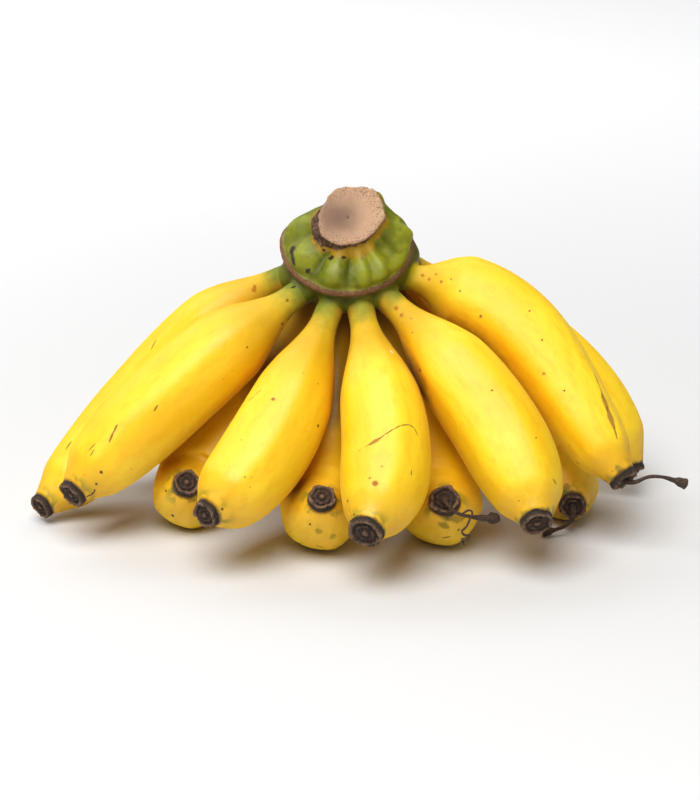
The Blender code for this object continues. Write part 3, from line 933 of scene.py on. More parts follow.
def sweep_tree(name: str) -> NodeTree:
    """The rule that sweeps a section along a line.

    The line is a mesh of edges whose points carry their girth, their place along the
    line, the middle and the frame. The section has soft ridges and slow lumps, lies flat on
    the table where it would sink in, and ends in closed caps.

    Args:
        name: the tree's name.

    Returns:
        The tree, with named inputs for its sizes.
    """
    sketch = Sketch(bpy.data.node_groups.new(name, "GeometryNodeTree"))
    takes = (
        ("Line", "Geometry", None), ("Sides", "Int", 96), ("Ridges", "Float", RIDGES),
        ("Ridge Depth", "Float", 0.02), ("Lump Size", "Float", 10.0), ("Lump Depth", "Float", 0.02),
        ("Seed", "Float", 0.0), ("Table", "Float", 0.0), ("Skin", "Material", None),
    )
    take = sketch.open(takes, (("Swept", "Geometry"),))

    def known(label: str, kind: str = "FLOAT_VECTOR") -> Value:
        """A value that the line's points carry."""
        made = sketch.node("GeometryNodeInputNamedAttribute", {"Name": label}, data_type=kind)
        return Value(sketch, next(s for s in made.outputs if s.enabled and s.name == "Attribute"))

    curve = sketch.read("GeometryNodeMeshToCurve", {"Mesh": take["Line"]})
    facing = sketch.node("GeometryNodeSetCurveNormal", {"Curve": curve}, mode="FREE")
    sketch.feed(facing.inputs["Normal"], known("side"))
    ring = sketch.read("GeometryNodeCurvePrimitiveCircle", {"Resolution": take["Sides"], "Radius": 1.0})
    girth = known("girth", "FLOAT")
    feeds = {"Curve": facing.outputs[0], "Profile Curve": ring, "Scale": girth, "Fill Caps": True}
    swept = sketch.read("GeometryNodeCurveToMesh", feeds)
    middle = known("middle")
    radial = sketch.vector("SUBTRACT", sketch.read("GeometryNodeInputPosition"), middle)
    across = sketch.vector("DOT_PRODUCT", radial, known("side"))
    upward = sketch.vector("DOT_PRODUCT", radial, known("lift"))
    turned = sketch.sum("ARCTAN2", upward, across) * take["Ridges"]
    crest = sketch.sum("COSINE", turned) + sketch.sum("COSINE", turned * 2.0) * SECOND_CREST
    ridged = crest * take["Ridge Depth"] * known("ridging", "FLOAT")
    straight = sketch.triple(across, upward, known("along", "FLOAT"))
    drawn = sketch.vector("MULTIPLY", straight, (1 / MM, 1 / MM, 0.5))
    seeded = sketch.vector("ADD", drawn, sketch.triple(take["Seed"], take["Seed"]))
    lumps = sketch.cloud(seeded, sketch.sum("DIVIDE", 1.0, take["Lump Size"]), 2.0)
    share = 1.0 + (ridged + (lumps - 0.5) * take["Lump Depth"])
    shaped = sketch.parts(sketch.vector("ADD", middle, sketch.vector("SCALE", radial, share)))
    rested = sketch.triple(shaped[0], shaped[1], sketch.sum("MAXIMUM", shaped[2], take["Table"]))
    noted = sketch.node(
        "GeometryNodeStoreNamedAttribute", {"Geometry": swept, "Name": "skin_at"},
        data_type="FLOAT_VECTOR", domain="POINT",
    )
    skin_at = sketch.vector("MULTIPLY", straight, (1 / MM, 1 / MM, 1.0))
    sketch.feed(next(s for s in noted.inputs if s.enabled and s.name == "Value"), skin_at)
    moved = sketch.read("GeometryNodeSetPosition", {"Geometry": noted.outputs[0], "Position": rested})
    smooth = sketch.read("GeometryNodeSetShadeSmooth", {0: moved})
    real = sketch.read("GeometryNodeRealizeInstances", {0: smooth})
    clad = sketch.read("GeometryNodeSetMaterial", {"Geometry": real, "Material": take["Skin"]})
    sketch.node("NodeGroupOutput", {"Swept": clad})
    return sketch.tree


FAR_BELOW = -1.0
FAR_APART = 50.0
DOUBLED = 0.000005


@dataclass(frozen=True)
class SweepSizes:
    """What the sweep's inputs are set to."""

    sides: int
    ridge_depth: float
    lump_size: float
    lump_depth: float
    seed: float
    table: float = FAR_BELOW

    def apply(self, modifier: Modifier, skin: Material) -> None:
        """Sets a modifier's inputs by their identifiers."""
        values = {
            "Sides": self.sides, "Ridges": RIDGES, "Ridge Depth": self.ridge_depth,
            "Lump Size": self.lump_size, "Lump Depth": self.lump_depth,
            "Seed": self.seed, "Table": self.table, "Skin": skin,
        }
        for item in modifier.node_group.interface.items_tree:
            if item.item_type == "SOCKET" and item.in_out == "INPUT" and item.name in values:
                modifier[item.identifier] = values[item.name]


@dataclass
class SweptLine:
    """A line of points with all that the sweep needs to know at each, by name."""

    known: dict[str, list[Any]] = field(default_factory=dict)

    def add(self, station: Sequence[Vector], girth: float, along: float, ridging: float) -> None:
        """Adds one point."""
        names = ("middle", "side", "lift", "girth", "along", "ridging")
        for name, value in zip(names, (*station, girth, along, ridging)):
            self.known.setdefault(name, []).append(value)

    def sweep(self, name: str, tree: NodeTree, sizes: SweepSizes, skin: Material) -> Object:
        """Sweeps the line into a plain mesh.

        Args:
            name: the new object's name.
            tree: the sweep's rule.
            sizes: the rule's inputs.
            skin: the material.

        Returns:
            The object.
        """
        points = self.known["middle"]
        mesh = bpy.data.meshes.new(name + "_line")
        mesh.from_pydata(points, [(i, i + 1) for i in range(len(points) - 1)], [])
        for label, values in self.known.items():
            note(mesh, label, values)
        thing = add_object(name, mesh)
        modifier = thing.modifiers.new("sweep", "NODES")
        modifier.node_group = tree
        sizes.apply(modifier, skin)
        settle(thing)
        for label in self.known:
            if label in thing.data.attributes:
                thing.data.attributes.remove(thing.data.attributes[label])
        return thing


def add_object(name: str, data: bpy.types.ID) -> Object:
    """Puts a new object into the scene."""
    thing = bpy.data.objects.new(name, data)
    bpy.context.scene.collection.objects.link(thing)
    return thing


def plain_mesh(name: str, work: bmesh.types.BMesh) -> Mesh:
    """Ends the work on a mesh and gives the plain one."""
    mesh = bpy.data.meshes.new(name)
    work.to_mesh(mesh)
    work.free()
    return mesh


def cover(work: bmesh.types.BMesh, rows: Sequence[Sequence[Any]], ends: Sequence[int]) -> None:
    """Lays faces between closed rows of points, and one over each of the rows named as ends."""
    for lower, upper in zip(rows, rows[1:]):
        for i in range(len(lower)):
            j = (i + 1) % len(lower)
            work.faces.new((lower[i], lower[j], upper[j], upper[i]))
    for end in ends:
        work.faces.new(rows[end])


def points_of(mesh: Mesh) -> np.ndarray:
    """A mesh's points, one in each row."""
    at = np.empty(len(mesh.vertices) * 3)
    mesh.vertices.foreach_get("co", at)
    return at.reshape(-1, 3)


def note(mesh: Mesh, label: str, values: Any) -> None:
    """Notes a number or a vector at each of a mesh's points."""
    values = np.asarray(values, dtype=np.float32)
    kind, slot = ("FLOAT", "value") if values.ndim == 1 else ("FLOAT_VECTOR", "vector")
    mesh.attributes.new(label, kind, "POINT").data.foreach_set(slot, values.ravel())


def settle(thing: Object) -> None:
    """Turns an object's modifiers into its plain mesh."""
    bpy.context.view_layer.update()
    seen = thing.evaluated_get(bpy.context.evaluated_depsgraph_get())
    mesh = bpy.data.meshes.new_from_object(seen)
    thing.modifiers.clear()
    thing.data = mesh


def outward(thing: Object) -> None:
    """Welds an object's doubled points and turns its faces outward."""
    work = bmesh.new()
    work.from_mesh(thing.data)
    bmesh.ops.remove_doubles(work, verts=work.verts, dist=DOUBLED)
    bmesh.ops.recalc_face_normals(work, faces=work.faces)
    work.to_mesh(thing.data)
    work.free()


def dress(thing: Object, skin: Material) -> None:
    """Gives an object one smooth surface."""
    thing.data.materials.clear()
    thing.data.materials.append(skin)
    thing.data.polygons.foreach_set("use_smooth", [True] * len(thing.data.polygons))


def join(name: str, things: Sequence[Object]) -> Object:
    """Joins objects into the first one, which takes the name."""
    first = things[0]
    if len(things) > 1:
        with bpy.context.temp_override(active_object=first, selected_editable_objects=list(things)):
            bpy.ops.object.join()
    first.name = name
    return first


@dataclass
class Finger:
    """One banana finger, from inside the crown's stalk to under its dried remnant."""

    plan: FingerPlan
    sides: int = 96
    rings: int = 92
    overlap: float = 6.5
    blend_in: float = 3.0
    crowding: float = 0.05
    rounding: float = 1.2
    ridge_depth: float = 0.024
    ridges_grow: tuple[float, float] = (0.10, 0.34)
    ridges_fade: tuple[float, float] = (1.0, 0.90)
    least_ridging: float = 0.35
    lump_size: float = 22.0
    lump_depth: float = 0.05
    seed_step: float = 31.0

    def build(
        self, line: Centreline, neighbours: Sequence[Centreline], tree: NodeTree, skin: Material
    ) -> Object:
        """Sweeps and dresses the finger.

        Args:
            line: its middle line.
            neighbours: the other fingers' middle lines.
            tree: the sweep's rule.
            skin: its material.

        Returns:
            The finished piece.
        """
        swept = SweptLine()
        start = HABITS[self.plan.row].stalk - self.overlap
        length = line.length / MM
        for index in range(self.rings + 1):
            share = index / self.rings
            along = start + (length - start) * (share + self.crowding * math.sin(ROUND * share))
            tucked = 0.5 * (1.0 - float(smoothstep(0.0, self.blend_in, along - start)))
            girth = line.radius(along * MM) - tucked * MM
            far = along / length
            ridging = float(smoothstep(*self.ridges_grow, far) * smoothstep(*self.ridges_fade, far))
            ridging = self.least_ridging + (1.0 - self.least_ridging) * ridging
            swept.add(line.station(along * MM), girth, along, ridging)
        swept.add(line.station(line.length), (self.plan.end - self.rounding) * MM, length, 0.0)
        sizes = SweepSizes(
            self.sides, self.ridge_depth, self.lump_size, self.lump_depth,
            self.plan.number * self.seed_step, 0.0 if self.plan.foot else FAR_BELOW,
        )
        thing = swept.sweep("finger_skin_%02d" % self.plan.number, tree, sizes, skin)
        outward(thing)
        # The gap to the other fingers drives the painted shade between them.
        note(thing.data, "gap", self.gaps(points_of(thing.data), neighbours))
        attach(thing, BODY)
        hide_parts("finger_%02d" % self.plan.number)
        return thing

    @staticmethod
    def gaps(at: np.ndarray, neighbours: Sequence[Centreline]) -> np.ndarray:
        """How far the nearest other finger's skin is from each point, in millimetres."""
        gap = np.full(len(at), FAR_APART)
        for other in neighbours:
            places = np.arange(8.0 * MM, other.length, 1.5 * MM)
            points = np.array([other.station(place)[0] for place in places])
            reaches = np.array([other.radius(place) for place in places])
            squares = (at**2).sum(1)[:, None] + (points**2).sum(1)[None, :] - 2.0 * at @ points.T
            gap = np.minimum(gap, (np.sqrt(np.maximum(squares, 0.0)) - reaches).min(axis=1) / MM)
        return gap


@dataclass(frozen=True)
class CrownRing:
    """One section of the crown, in millimetres from the ring scar's middle."""

    height: float
    side: float
    front: float
    back: float
    lobe: float
    aside: float
    lean: float


@dataclass(frozen=True)
class Bulge:
    """A swelling or hollow of the crown: its bearing and height, its spread and its depth."""

    bearing: float
    height: float
    spread: float
    rise: float
    depth: float


@dataclass
class Crown:
    """The crown: its dome, ring scar, cut face and the first part of every stalk."""

    lobes: int = 12
    columns: int = 192
    steps: int = 8
    voxel: float = 0.42
    smoothing: int = 42
    stalk_sides: int = 40
    stalk_places: tuple[float, ...] = (-9.0, -4.0, 0.0, 2.5, 5.0, 7.0)
    stalk_short: float = 1.5
    stub_radius: float = 12.9
    crumble: float = 0.45
    cork: float = 0.16
    rim_heights: tuple[float, float] = (12.6, 14.6)
    rim_reaches: tuple[float, float] = (9.5, 11.5)
    scar_height: float = 0.4
    scar_fade: tuple[float, float] = (2.6, 1.6)
    scar_inside: float = 15.0
    smoothed_below: tuple[float, float] = (-1.2, -3.0)
    softness: float = 0.55
    rings: tuple[CrownRing, ...] = tuple(CrownRing(*sizes) for sizes in (
        (-25, 7.5, 7.5, 6.5, 0, 0, 0), (-21, 12, 12, 10, 0, 0.3, 0), (-11, 24, 20, 15, 0, 1.2, 0),
        (-6, 25.8, 22.6, 17, 0.01, 1.2, 0), (-1.9, 24.3, 23.8, 16.2, 0, 0.1, 0),
        (-1.1, 24.8, 24.9, 16.6, 0, -0.4, 0), (-0.1, 25.2, 25.7, 17.1, 0, -0.5, 0),
        (0.9, 25.1, 25.7, 17, 0, -0.5, 0), (1.8, 24.4, 25, 16.5, 0, -0.4, 0),
        (2.4, 23.6, 24, 15.9, 0, -0.2, 0), (4.8, 23.1, 23, 15.3, 0.01, 0.3, 0),
        (7.6, 20.3, 19.8, 13.9, 0.01, 0.6, 0), (9.8, 16.2, 16.2, 12.6, 0.01, 0.8, 0.03),
        (11.8, 13.9, 13.9, 12.5, 0.01, 0.6, 0.06), (13.6, 12.8, 12.8, 12.8, 0.01, 0.3, 0.1),
        (15.2, 12.9, 12.9, 12.9, 0, 0.1, 0.1), (16.2, 12.7, 12.7, 12.7, 0, 0.1, 0.1),
        (16.1, 11.4, 11.4, 11.4, 0, 0.1, 0.1), (15.7, 9, 9, 9, 0, 0.1, 0.1),
        (15.3, 5, 5, 5, 0, 0.1, 0.1), (15.2, 1.6, 1.6, 1.6, 0, 0.1, 0.1),
        (14.7, 0.6, 0.6, 0.6, 0, 0.1, 0.1),
    ))
    stub_outline: Knots = (
        (-180, 12.8), (-159, 12.8), (-129, 11), (-101, 12.6), (-73, 14.3), (-55, 13.4), (-37, 13.4),
        (-11, 13), (19, 12.2), (35, 12), (50, 12.1), (71, 12.5), (87, 13.4), (122, 13.9),
        (150, 14.5), (168, 13), (180, 12.8),
    )
    face_outline: Knots = (
        (-180, 12.8), (-159, 12.7), (-129, 10.5), (-101, 10.7), (-73, 11.3), (-55, 12.5), (-37, 13.1),
        (-11, 13), (19, 12.2), (35, 12), (50, 12.1), (71, 12.5), (87, 13.4), (122, 13.9),
        (150, 14.5), (168, 13), (180, 12.8),
    )
    bulges: tuple[Bulge, ...] = (
        Bulge(-15, 7.5, 8, 4, 2.2), Bulge(15, 7, 7, 4, 1.9), Bulge(33, 7.5, 6.5, 4, 1.7),
        Bulge(0, 7.5, 5, 4.5, -1.8), Bulge(24, 8, 4, 3.5, -1), Bulge(-33, 7.5, 6.5, 4.5, -2),
        Bulge(-56, 6.5, 12, 4.5, 1.6), Bulge(-78, 8, 8, 3.2, -1.2), Bulge(-104, 7, 12, 4, 1.2),
        Bulge(50, 9, 8, 3.6, -1.4), Bulge(66, 8, 8, 3.6, -2), Bulge(90, 7.5, 10, 4, 1.3),
        Bulge(60, 4.2, 12, 2.2, 0.8), Bulge(136, 11.5, 12, 3.5, 2.8),
    )
    broken_side: Place = (-84.0, 30.0, 2.6)
    bulged_from: float = 12.5
    cut_from: float = 10.0
    cut_whole: float = 13.4

    def build(self, lines: Sequence[Centreline], skin: Material) -> Object:
        """Lofts the crown, grows the stalks onto it and dresses it.

        Args:
            lines: the middle lines of all fingers.
            skin: its material.

        Returns:
            The finished piece.
        """
        work = bmesh.new()
        self.loft(work)
        for line in lines:
            self.stalk(work, line)
        bmesh.ops.recalc_face_normals(work, faces=work.faces)
        thing = add_object("crown_skin", plain_mesh("crown_skin", work))
        remesh = thing.modifiers.new("grow_together", "REMESH")
        remesh.mode = "VOXEL"
        remesh.voxel_size = self.voxel * MM
        remesh.use_smooth_shade = True
        settle(thing)
        self.soften(thing.data)
        self.fray(thing.data)
        at = points_of(thing.data)
        note(thing.data, "stalk_along", self.stalks_reached(at, lines))
        note(thing.data, "swell", self.swell(at))
        outward(thing)
        dress(thing, skin)
        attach(thing, BODY)
        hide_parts("crown")
        return thing

    def loft(self, work: bmesh.types.BMesh) -> None:
        """Lofts the crown's lump through its sections, bulging out the wide ones."""
        rows = []
        last = len(self.rings) - 1
        names = [item.name for item in fields(CrownRing)]
        sizes = [np.array([getattr(ring, name) for name in names]) for ring in self.rings]
        angles = np.arange(self.columns) * ROUND / self.columns
        for index in range(last * self.steps + 1):
            knot = min(index // self.steps, last - 1)
            section = CrownRing(*spline(corners(sizes, knot), index / self.steps - knot).tolist())
            pushes = self.push(angles, np.full(self.columns, section.height))
            if section.side < self.bulged_from:
                pushes = pushes * 0.0
            places = zip(angles.tolist(), pushes.tolist())
            rows.append([work.verts.new(self.place(section, *at)) for at in places])
        cover(work, rows, (0, -1))

    def place(self, ring: CrownRing, angle: float, push: float) -> Vector:
        """A point of a section, with the crown's bulges and the cut face's uneven outline."""
        swell = 1.0 + ring.lobe * math.cos(self.lobes * angle)
        if ring.height > self.cut_from:
            bearing = (math.degrees(angle) + 180.0) % 360.0 - 180.0
            stub = smooth_through(self.stub_outline, bearing)
            face = smooth_through(self.face_outline, bearing)
            top = float(smoothstep(15.0, 15.9, ring.height)) if ring.side > 12.0 else 1.0
            share = float(smoothstep(self.cut_from, self.cut_whole, ring.height))
            swell += share * ((stub + (face - stub) * top) / self.stub_radius - 1.0)
        ahead = math.cos(angle) * swell
        ahead *= ring.front if ahead > 0.0 else ring.back
        across = math.sin(angle) * swell * ring.side
        ahead += math.cos(angle) * push
        across += math.sin(angle) * push + ring.aside
        along = ring.height - ring.lean * ahead + 0.6 * push * float(smoothstep(2.0, 8.0, ring.height))
        if ring.height > 13.0 and ring.side > 12.0:
            at, spread, drop = self.broken_side
            away = (math.degrees(angle) - at + 180.0) % 360.0 - 180.0
            along -= drop * math.exp(-(away / spread) ** 2) * float(smoothstep(15.95, 15.1, ring.height))
        return CROWN_CENTRE + (along * CROWN_AXIS + ahead * CROWN_AHEAD + across * CROWN_RIGHT) * MM

    def push(self, angles: np.ndarray, heights: np.ndarray) -> np.ndarray:
        """How far the bulges push the dome out at places round it, in millimetres."""
        total = np.zeros(len(angles))
        for bulge in self.bulges:
            away = (np.degrees(angles) - bulge.bearing + 180.0) % 360.0 - 180.0
            rise = (heights - bulge.height) / bulge.rise
            total += bulge.depth * np.exp(-(away / bulge.spread) ** 2 - rise**2)
        return total * smoothstep(1.2, 3.0, heights)

    def stalk(self, work: bmesh.types.BMesh, line: Centreline) -> None:
        """Adds the buried root and the first part of a finger's stalk."""
        end = HABITS[line.plan.row].stalk
        rings = []
        for along in (*self.stalk_places, end - self.stalk_short):
            tuck = 0.3 * float(smoothstep(3.0, 7.0, along))
            reach = line.radius(max(along, 0.0) * MM) - tuck * MM
            point, side, lift = line.station(along * MM)
            ring = []
            for i in range(self.stalk_sides):
                angle = ROUND * i / self.stalk_sides
                spoke = math.cos(angle) * side + math.sin(angle) * lift
                ring.append(work.verts.new(point + reach * spoke))
            rings.append(ring)
        cover(work, rings, (0, -1))

    def soften(self, mesh: Mesh) -> None:
        """Rounds the places where stalks and crown grow together, below the ring scar."""
        count = len(mesh.vertices)
        at = points_of(mesh)
        ends = np.empty(len(mesh.edges) * 2, dtype=np.int64)
        mesh.edges.foreach_get("vertices", ends)
        one, two = ends[0::2], ends[1::2]
        degree = np.bincount(ends, minlength=count).astype(float)
        height = (at - np.array(CROWN_CENTRE)) @ np.array(CROWN_AXIS) / MM
        low = smoothstep(*self.smoothed_below, height)
        for turn in range(self.smoothing):
            weight = self.softness * (low if turn >= 2 else np.maximum(low, 0.5))
            total = np.empty_like(at)
            for axis in range(3):
                total[:, axis] = np.bincount(one, at[two, axis], count)
                total[:, axis] += np.bincount(two, at[one, axis], count)
            at += weight[:, None] * (total / degree[:, None] - at)
        mesh.vertices.foreach_set("co", at.ravel())
        mesh.update()

    def fray(self, mesh: Mesh) -> None:
        """Makes the dried rim of the cut crumbly and the ring scar corky."""
        normals = [vertex.normal.copy() for vertex in mesh.vertices]
        for vertex, normal in zip(mesh.vertices, normals):
            away = (vertex.co - CROWN_CENTRE) / MM
            height = away.dot(CROWN_AXIS)
            across, ahead = away.dot(CROWN_RIGHT), away.dot(CROWN_AHEAD)
            reach = math.hypot(across, ahead)
            leaned = height + LEAN * ahead
            rim = float(smoothstep(*self.rim_heights, leaned) * smoothstep(*self.rim_reaches, reach))
            cord = float(smoothstep(*self.scar_fade, abs(height - self.scar_height)))
            if reach <= self.scar_inside:
                cord = 0.0
            if rim + cord > 0.0:
                coarse = noise.fractal(Vector((across * 0.4, ahead * 0.4, height * 0.2)), 0.8, 2.0, 3)
                fine = noise.noise(Vector((across * 0.5, ahead * 0.5, height * 2.2)))
                vertex.co += normal * (self.crumble * rim * coarse + self.cork * cord * fine) * MM
        mesh.update()

    @staticmethod
    def stalks_reached(at: np.ndarray, lines: Sequence[Centreline]) -> np.ndarray:
        """How far along the nearest stalk each point lies, in millimetres of a usual ripening."""
        reached = np.full(len(at), OFF_STALK)
        steps = np.arange(-6.0, 13.0, 0.5)
        for line in lines:
            points = np.array([line.station(step * MM)[0] for step in steps])
            ripening = steps * USUAL_RIPE / SKIN_HABITS[line.plan.number].ripe_from
            gaps = np.linalg.norm(at[:, None, :] - points[None, :, :], axis=2)
            close = smoothstep(9.0, 5.5, gaps.min(axis=1) / MM)
            reached = np.maximum(reached, OFF_STALK + (ripening[gaps.argmin(axis=1)] - OFF_STALK) * close)
        return reached

    def swell(self, at: np.ndarray) -> np.ndarray:
        """How far the bulges have pushed each point out, in millimetres."""
        away = (at - np.array(CROWN_CENTRE)) / MM
        height, ahead = away @ np.array(CROWN_AXIS), away @ np.array(CROWN_AHEAD)
        return self.push(np.arctan2(away[:, 0], ahead), height)


@dataclass(frozen=True)
class CrownFinish:
    """The crown's tissue: green dome, brown ring scar, torn yellow neck and dry tan cut."""

    green: Colour = colour(104, 110, 12)
    bright: Colour = colour(142, 142, 22)
    dark: Colour = colour(58, 68, 8)
    # lime: painted light on the bulges; dark also serves as painted shade in the hollows.
    lime: Colour = colour(150, 156, 34)
    shaded: Colour = colour(72, 72, 12)
    scar: Colour = colour(160, 116, 82)
    scar_dark: Colour = colour(98, 66, 42)
    torn: Colour = colour(164, 120, 8)
    # flat: painted sheen colour for the dome's flat faces.
    flat: Colour = colour(150, 154, 104)
    rim: Colour = colour(66, 46, 30)
    bark: Colour = colour(116, 86, 62)
    cut: Colour = colour(196, 158, 126)
    cut_dark: Colour = colour(126, 98, 80)
    nick: Colour = colour(46, 32, 18)

    def build(self, effects: Effects) -> Material:
        """Makes the crown's material.

        Args:
            effects: the shared groups.

        Returns:
            The material.
        """
        material, sketch, shader = new_material("crown_tissue")
        place = crown_place(sketch)
        across, behind, height = sketch.parts(place)
        ragged = sketch.cloud(place, 0.5, 4.0, 0.6) - 0.5
        shade = self.dome(sketch, effects, place, height)
        shade, scar = self.ring_scar(sketch, effects, shade, place, height, ragged)
        shade, dry = self.cut_end(sketch, effects, shade, place, height - behind * LEAN, across, ragged)
        sketch.feed(shader.inputs["Base Color"], self.nicks_and_painted_sheen(sketch, effects, shade, place))
        rough = sketch.sum("MAXIMUM", scar, dry)
        sketch.feed(shader.inputs["Roughness"], sketch.lerp(rough, 0.46, 0.85))
        fibres = sketch.cloud(sketch.squeezed(place, 0.3), 1.6, 4.0, 0.6)
        crust = sketch.group(effects.crust, {"Place": place, "Scale": 1.4})[1]
        bump(sketch, shader, sketch.lerp(rough, fibres * 0.5, crust * 1.2), 0.6, 0.0006)
        soft_flesh(shader, 0.08, (0.6, 0.8, 0.2), 0.32)
        return material

    def dome(self, sketch: Sketch, effects: Effects, place: Value, height: Value) -> Value:
        """The living green, brighter in patches, turning ripe along the stalks, with painted light on the
        bulges and towards the right side, and painted shade in the hollows and just below the ring scar.
        """
        # Painted light: the bright patches lean slightly towards the dome's right side.
        side = sketch.parts(place)[0] * 0.002
        patches = sketch.step(sketch.cloud(place, 0.09, 3.0) + side, 0.42, 0.68)
        shade = sketch.blend(patches, self.green, self.bright)
        low = sketch.step(height, -1.0, -3.0)
        mottled = sketch.step(sketch.cloud(place, 0.17, 3.0, 0.5), 0.48, 0.72)
        shade = sketch.blend(mottled * sketch.lerp(low, 0.6, 0.15), shade, self.dark)
        # Painted shade in the hollows between the bulges and painted light on the bulges, read from how far
        # each point was pushed out.
        uneven = sketch.attribute("swell") + (sketch.cloud(place, 0.25, 3.0) - 0.5) * 2.4
        shade = sketch.blend(sketch.step(uneven, -0.1, -1.7) * 0.6, shade, self.dark)
        shade = sketch.blend(sketch.step(uneven, 0.2, 1.6) * 0.5, shade, self.lime)
        along = sketch.attribute("stalk_along")
        feeds = {"Along": sketch.lerp(low, OFF_STALK, along), "Place": sketch.solid(), "Green": shade}
        feeds |= {"Green Until": USUAL_RIPE * GREEN_SHARE, "Ripe From": USUAL_RIPE, "Ripe": RIPE}
        ripening = sketch.group(effects.ripening, feeds)
        # Painted shade just below the ring scar, between the stalks, in the shaded olive.
        under = sketch.step(height, -1.0, -2.6) * sketch.step(along, 6.0, -3.0)
        return sketch.blend(under * 0.8, ripening[0], self.shaded)

    def ring_scar(
        self, sketch: Sketch, effects: Effects, shade: Value, place: Value, height: Value, ragged: Value
    ) -> tuple[Value, Value]:
        """The corky brown band round the dome's foot."""
        wavered = height + ragged * 0.7
        away = sketch.sum("ABSOLUTE", wavered - 0.45)
        band = sketch.step(away, 1.75, 1.3)
        stretched = sketch.vector("MULTIPLY", place, (0.5, 0.5, 3.0))
        cork = sketch.group(
            effects.crust, {"Place": stretched, "Scale": 1.2, "Dark": self.scar_dark, "Light": self.scar}
        )
        return sketch.blend(band, shade, cork[0]), band

    def cut_end(
        self, sketch: Sketch, effects: Effects, shade: Value, place: Value, leaned: Value, across: Value,
        ragged: Value,
    ) -> tuple[Value, Value]:
        """The torn neck, the dark dried rim and the tan face where the stalk was cut."""
        streaks = sketch.cloud(sketch.squeezed(place, 0.25), 0.7, 3.0, 0.6)
        torn = leaned + (streaks - 0.5) * 2.6
        front = sketch.step(across, 11.0, 2.0) * sketch.step(across, -17.0, -11.0)
        reached = torn + front * 1.5
        spoke = sketch.vector("LENGTH", sketch.squeezed(place, 0.0))
        near = sketch.step(spoke + ragged * 3.0, 17.2, 14.8)
        yellowed = sketch.step(reached, 11.3, 12.8) * near * 0.8
        shade = sketch.blend(yellowed, shade, self.torn)
        lower = sketch.step(across, 0.0, -9.0) * 2.2
        lower = lower - sketch.step(across, 6.0, 12.0) * 1.3
        edge = torn + lower + ragged * 2.0
        rim = sketch.step(edge, 13.6, 14.4)
        feeds = {"Place": sketch.squeezed(place, 0.4), "Scale": 0.3, "Dark": self.rim, "Light": self.bark}
        shade = sketch.blend(rim, shade, sketch.group(effects.crust, feeds)[0])
        edge_of_face = sketch.step(leaned + ragged * 0.5, 15.2, 15.6)
        middle = sketch.step(leaned, 13.8, 14.2) * sketch.step(spoke, 10.0, 9.0)
        face = sketch.sum("MAXIMUM", edge_of_face, middle)
        off = sketch.vector("LENGTH", sketch.squeezed(sketch.vector("ADD", place, (3.5, 0.5, 0.0)), 0.0))
        cloudy = sketch.cloud(place, 0.15, 3.0) * 0.5 + off * 0.08
        tan = sketch.blend(sketch.step(cloudy, 0.28, 1.4), self.cut_dark, self.cut)
        grain = sketch.step(sketch.cloud(place, 1.8, 3.0, 0.6), 0.46, 0.64)
        border = sketch.step(spoke + ragged * 5.0, 6.5, 11.5)
        tan = sketch.blend(grain * border * 0.7, tan, self.bark)
        heart = sketch.step(spoke, 0.7, 0.3)
        tan = sketch.blend(heart * 0.5, tan, self.rim)
        pits = sketch.group(effects.speckle, {"Place": place, "Cells": 1.2, "Size": 0.30, "Share": 0.22})
        tan = sketch.blend(pits[0] * 0.25, tan, self.rim)
        return sketch.blend(face, shade, tan), rim

    def nicks_and_painted_sheen(self, sketch: Sketch, effects: Effects, shade: Value, place: Value) -> Value:
        """Small dark wounds and specks in the dome, and painted sheen on its flat faces, each from one
        place of the crown to another.
        """
        # Painted sheen: pale grey-green patches where the dome's flat faces catch the light.
        painted_sheens = (
            ((-5.1, -21.2, 7.6), (-5.1, -18.9, 9.6), 4.8), ((10.7, -19.1, 7), (10.3, -16.6, 9.1), 4.6),
            ((2.6, -20.3, 6.7), (2.6, -17.9, 8.4), 3.4),
        )
        wounds = (
            ((-20.7, -6.7, 5.5), (-20.5, -9.6, 5.9), 2.8), ((-20.4, -9.4, 5.9), (-20, -14.2, 4.8), 2),
            ((-15.5, -17.6, 4.2), (-14.4, -17.2, 5.2), 1.5),
            ((-7.2, -14.2, 8.4), (-5.7, -15.1, 10.1), 1.4), ((-2.4, -16, 11), (-0.5, -15.2, 10.2), 1.1),
            ((1.1, -13.2, 12), (2.4, -13.6, 12.2), 1), ((-9.6, -12, 9.8), (-8.5, -11.7, 10.1), 1),
        )
        specks = (((6.3, -15.2, 10.4), (6.5, -15, 10.3), 1.4),)
        kinds = ((painted_sheens, self.flat, 0.28), (wounds, self.nick, 1.0), (specks, self.cut, 0.9))
        for places, tint, strength in kinds:
            for start, end, width in places:
                made = effects.mark_on(sketch, place, start, end, width, 1.2)
                shade = sketch.blend(made * strength, shade, tint)
        return shade


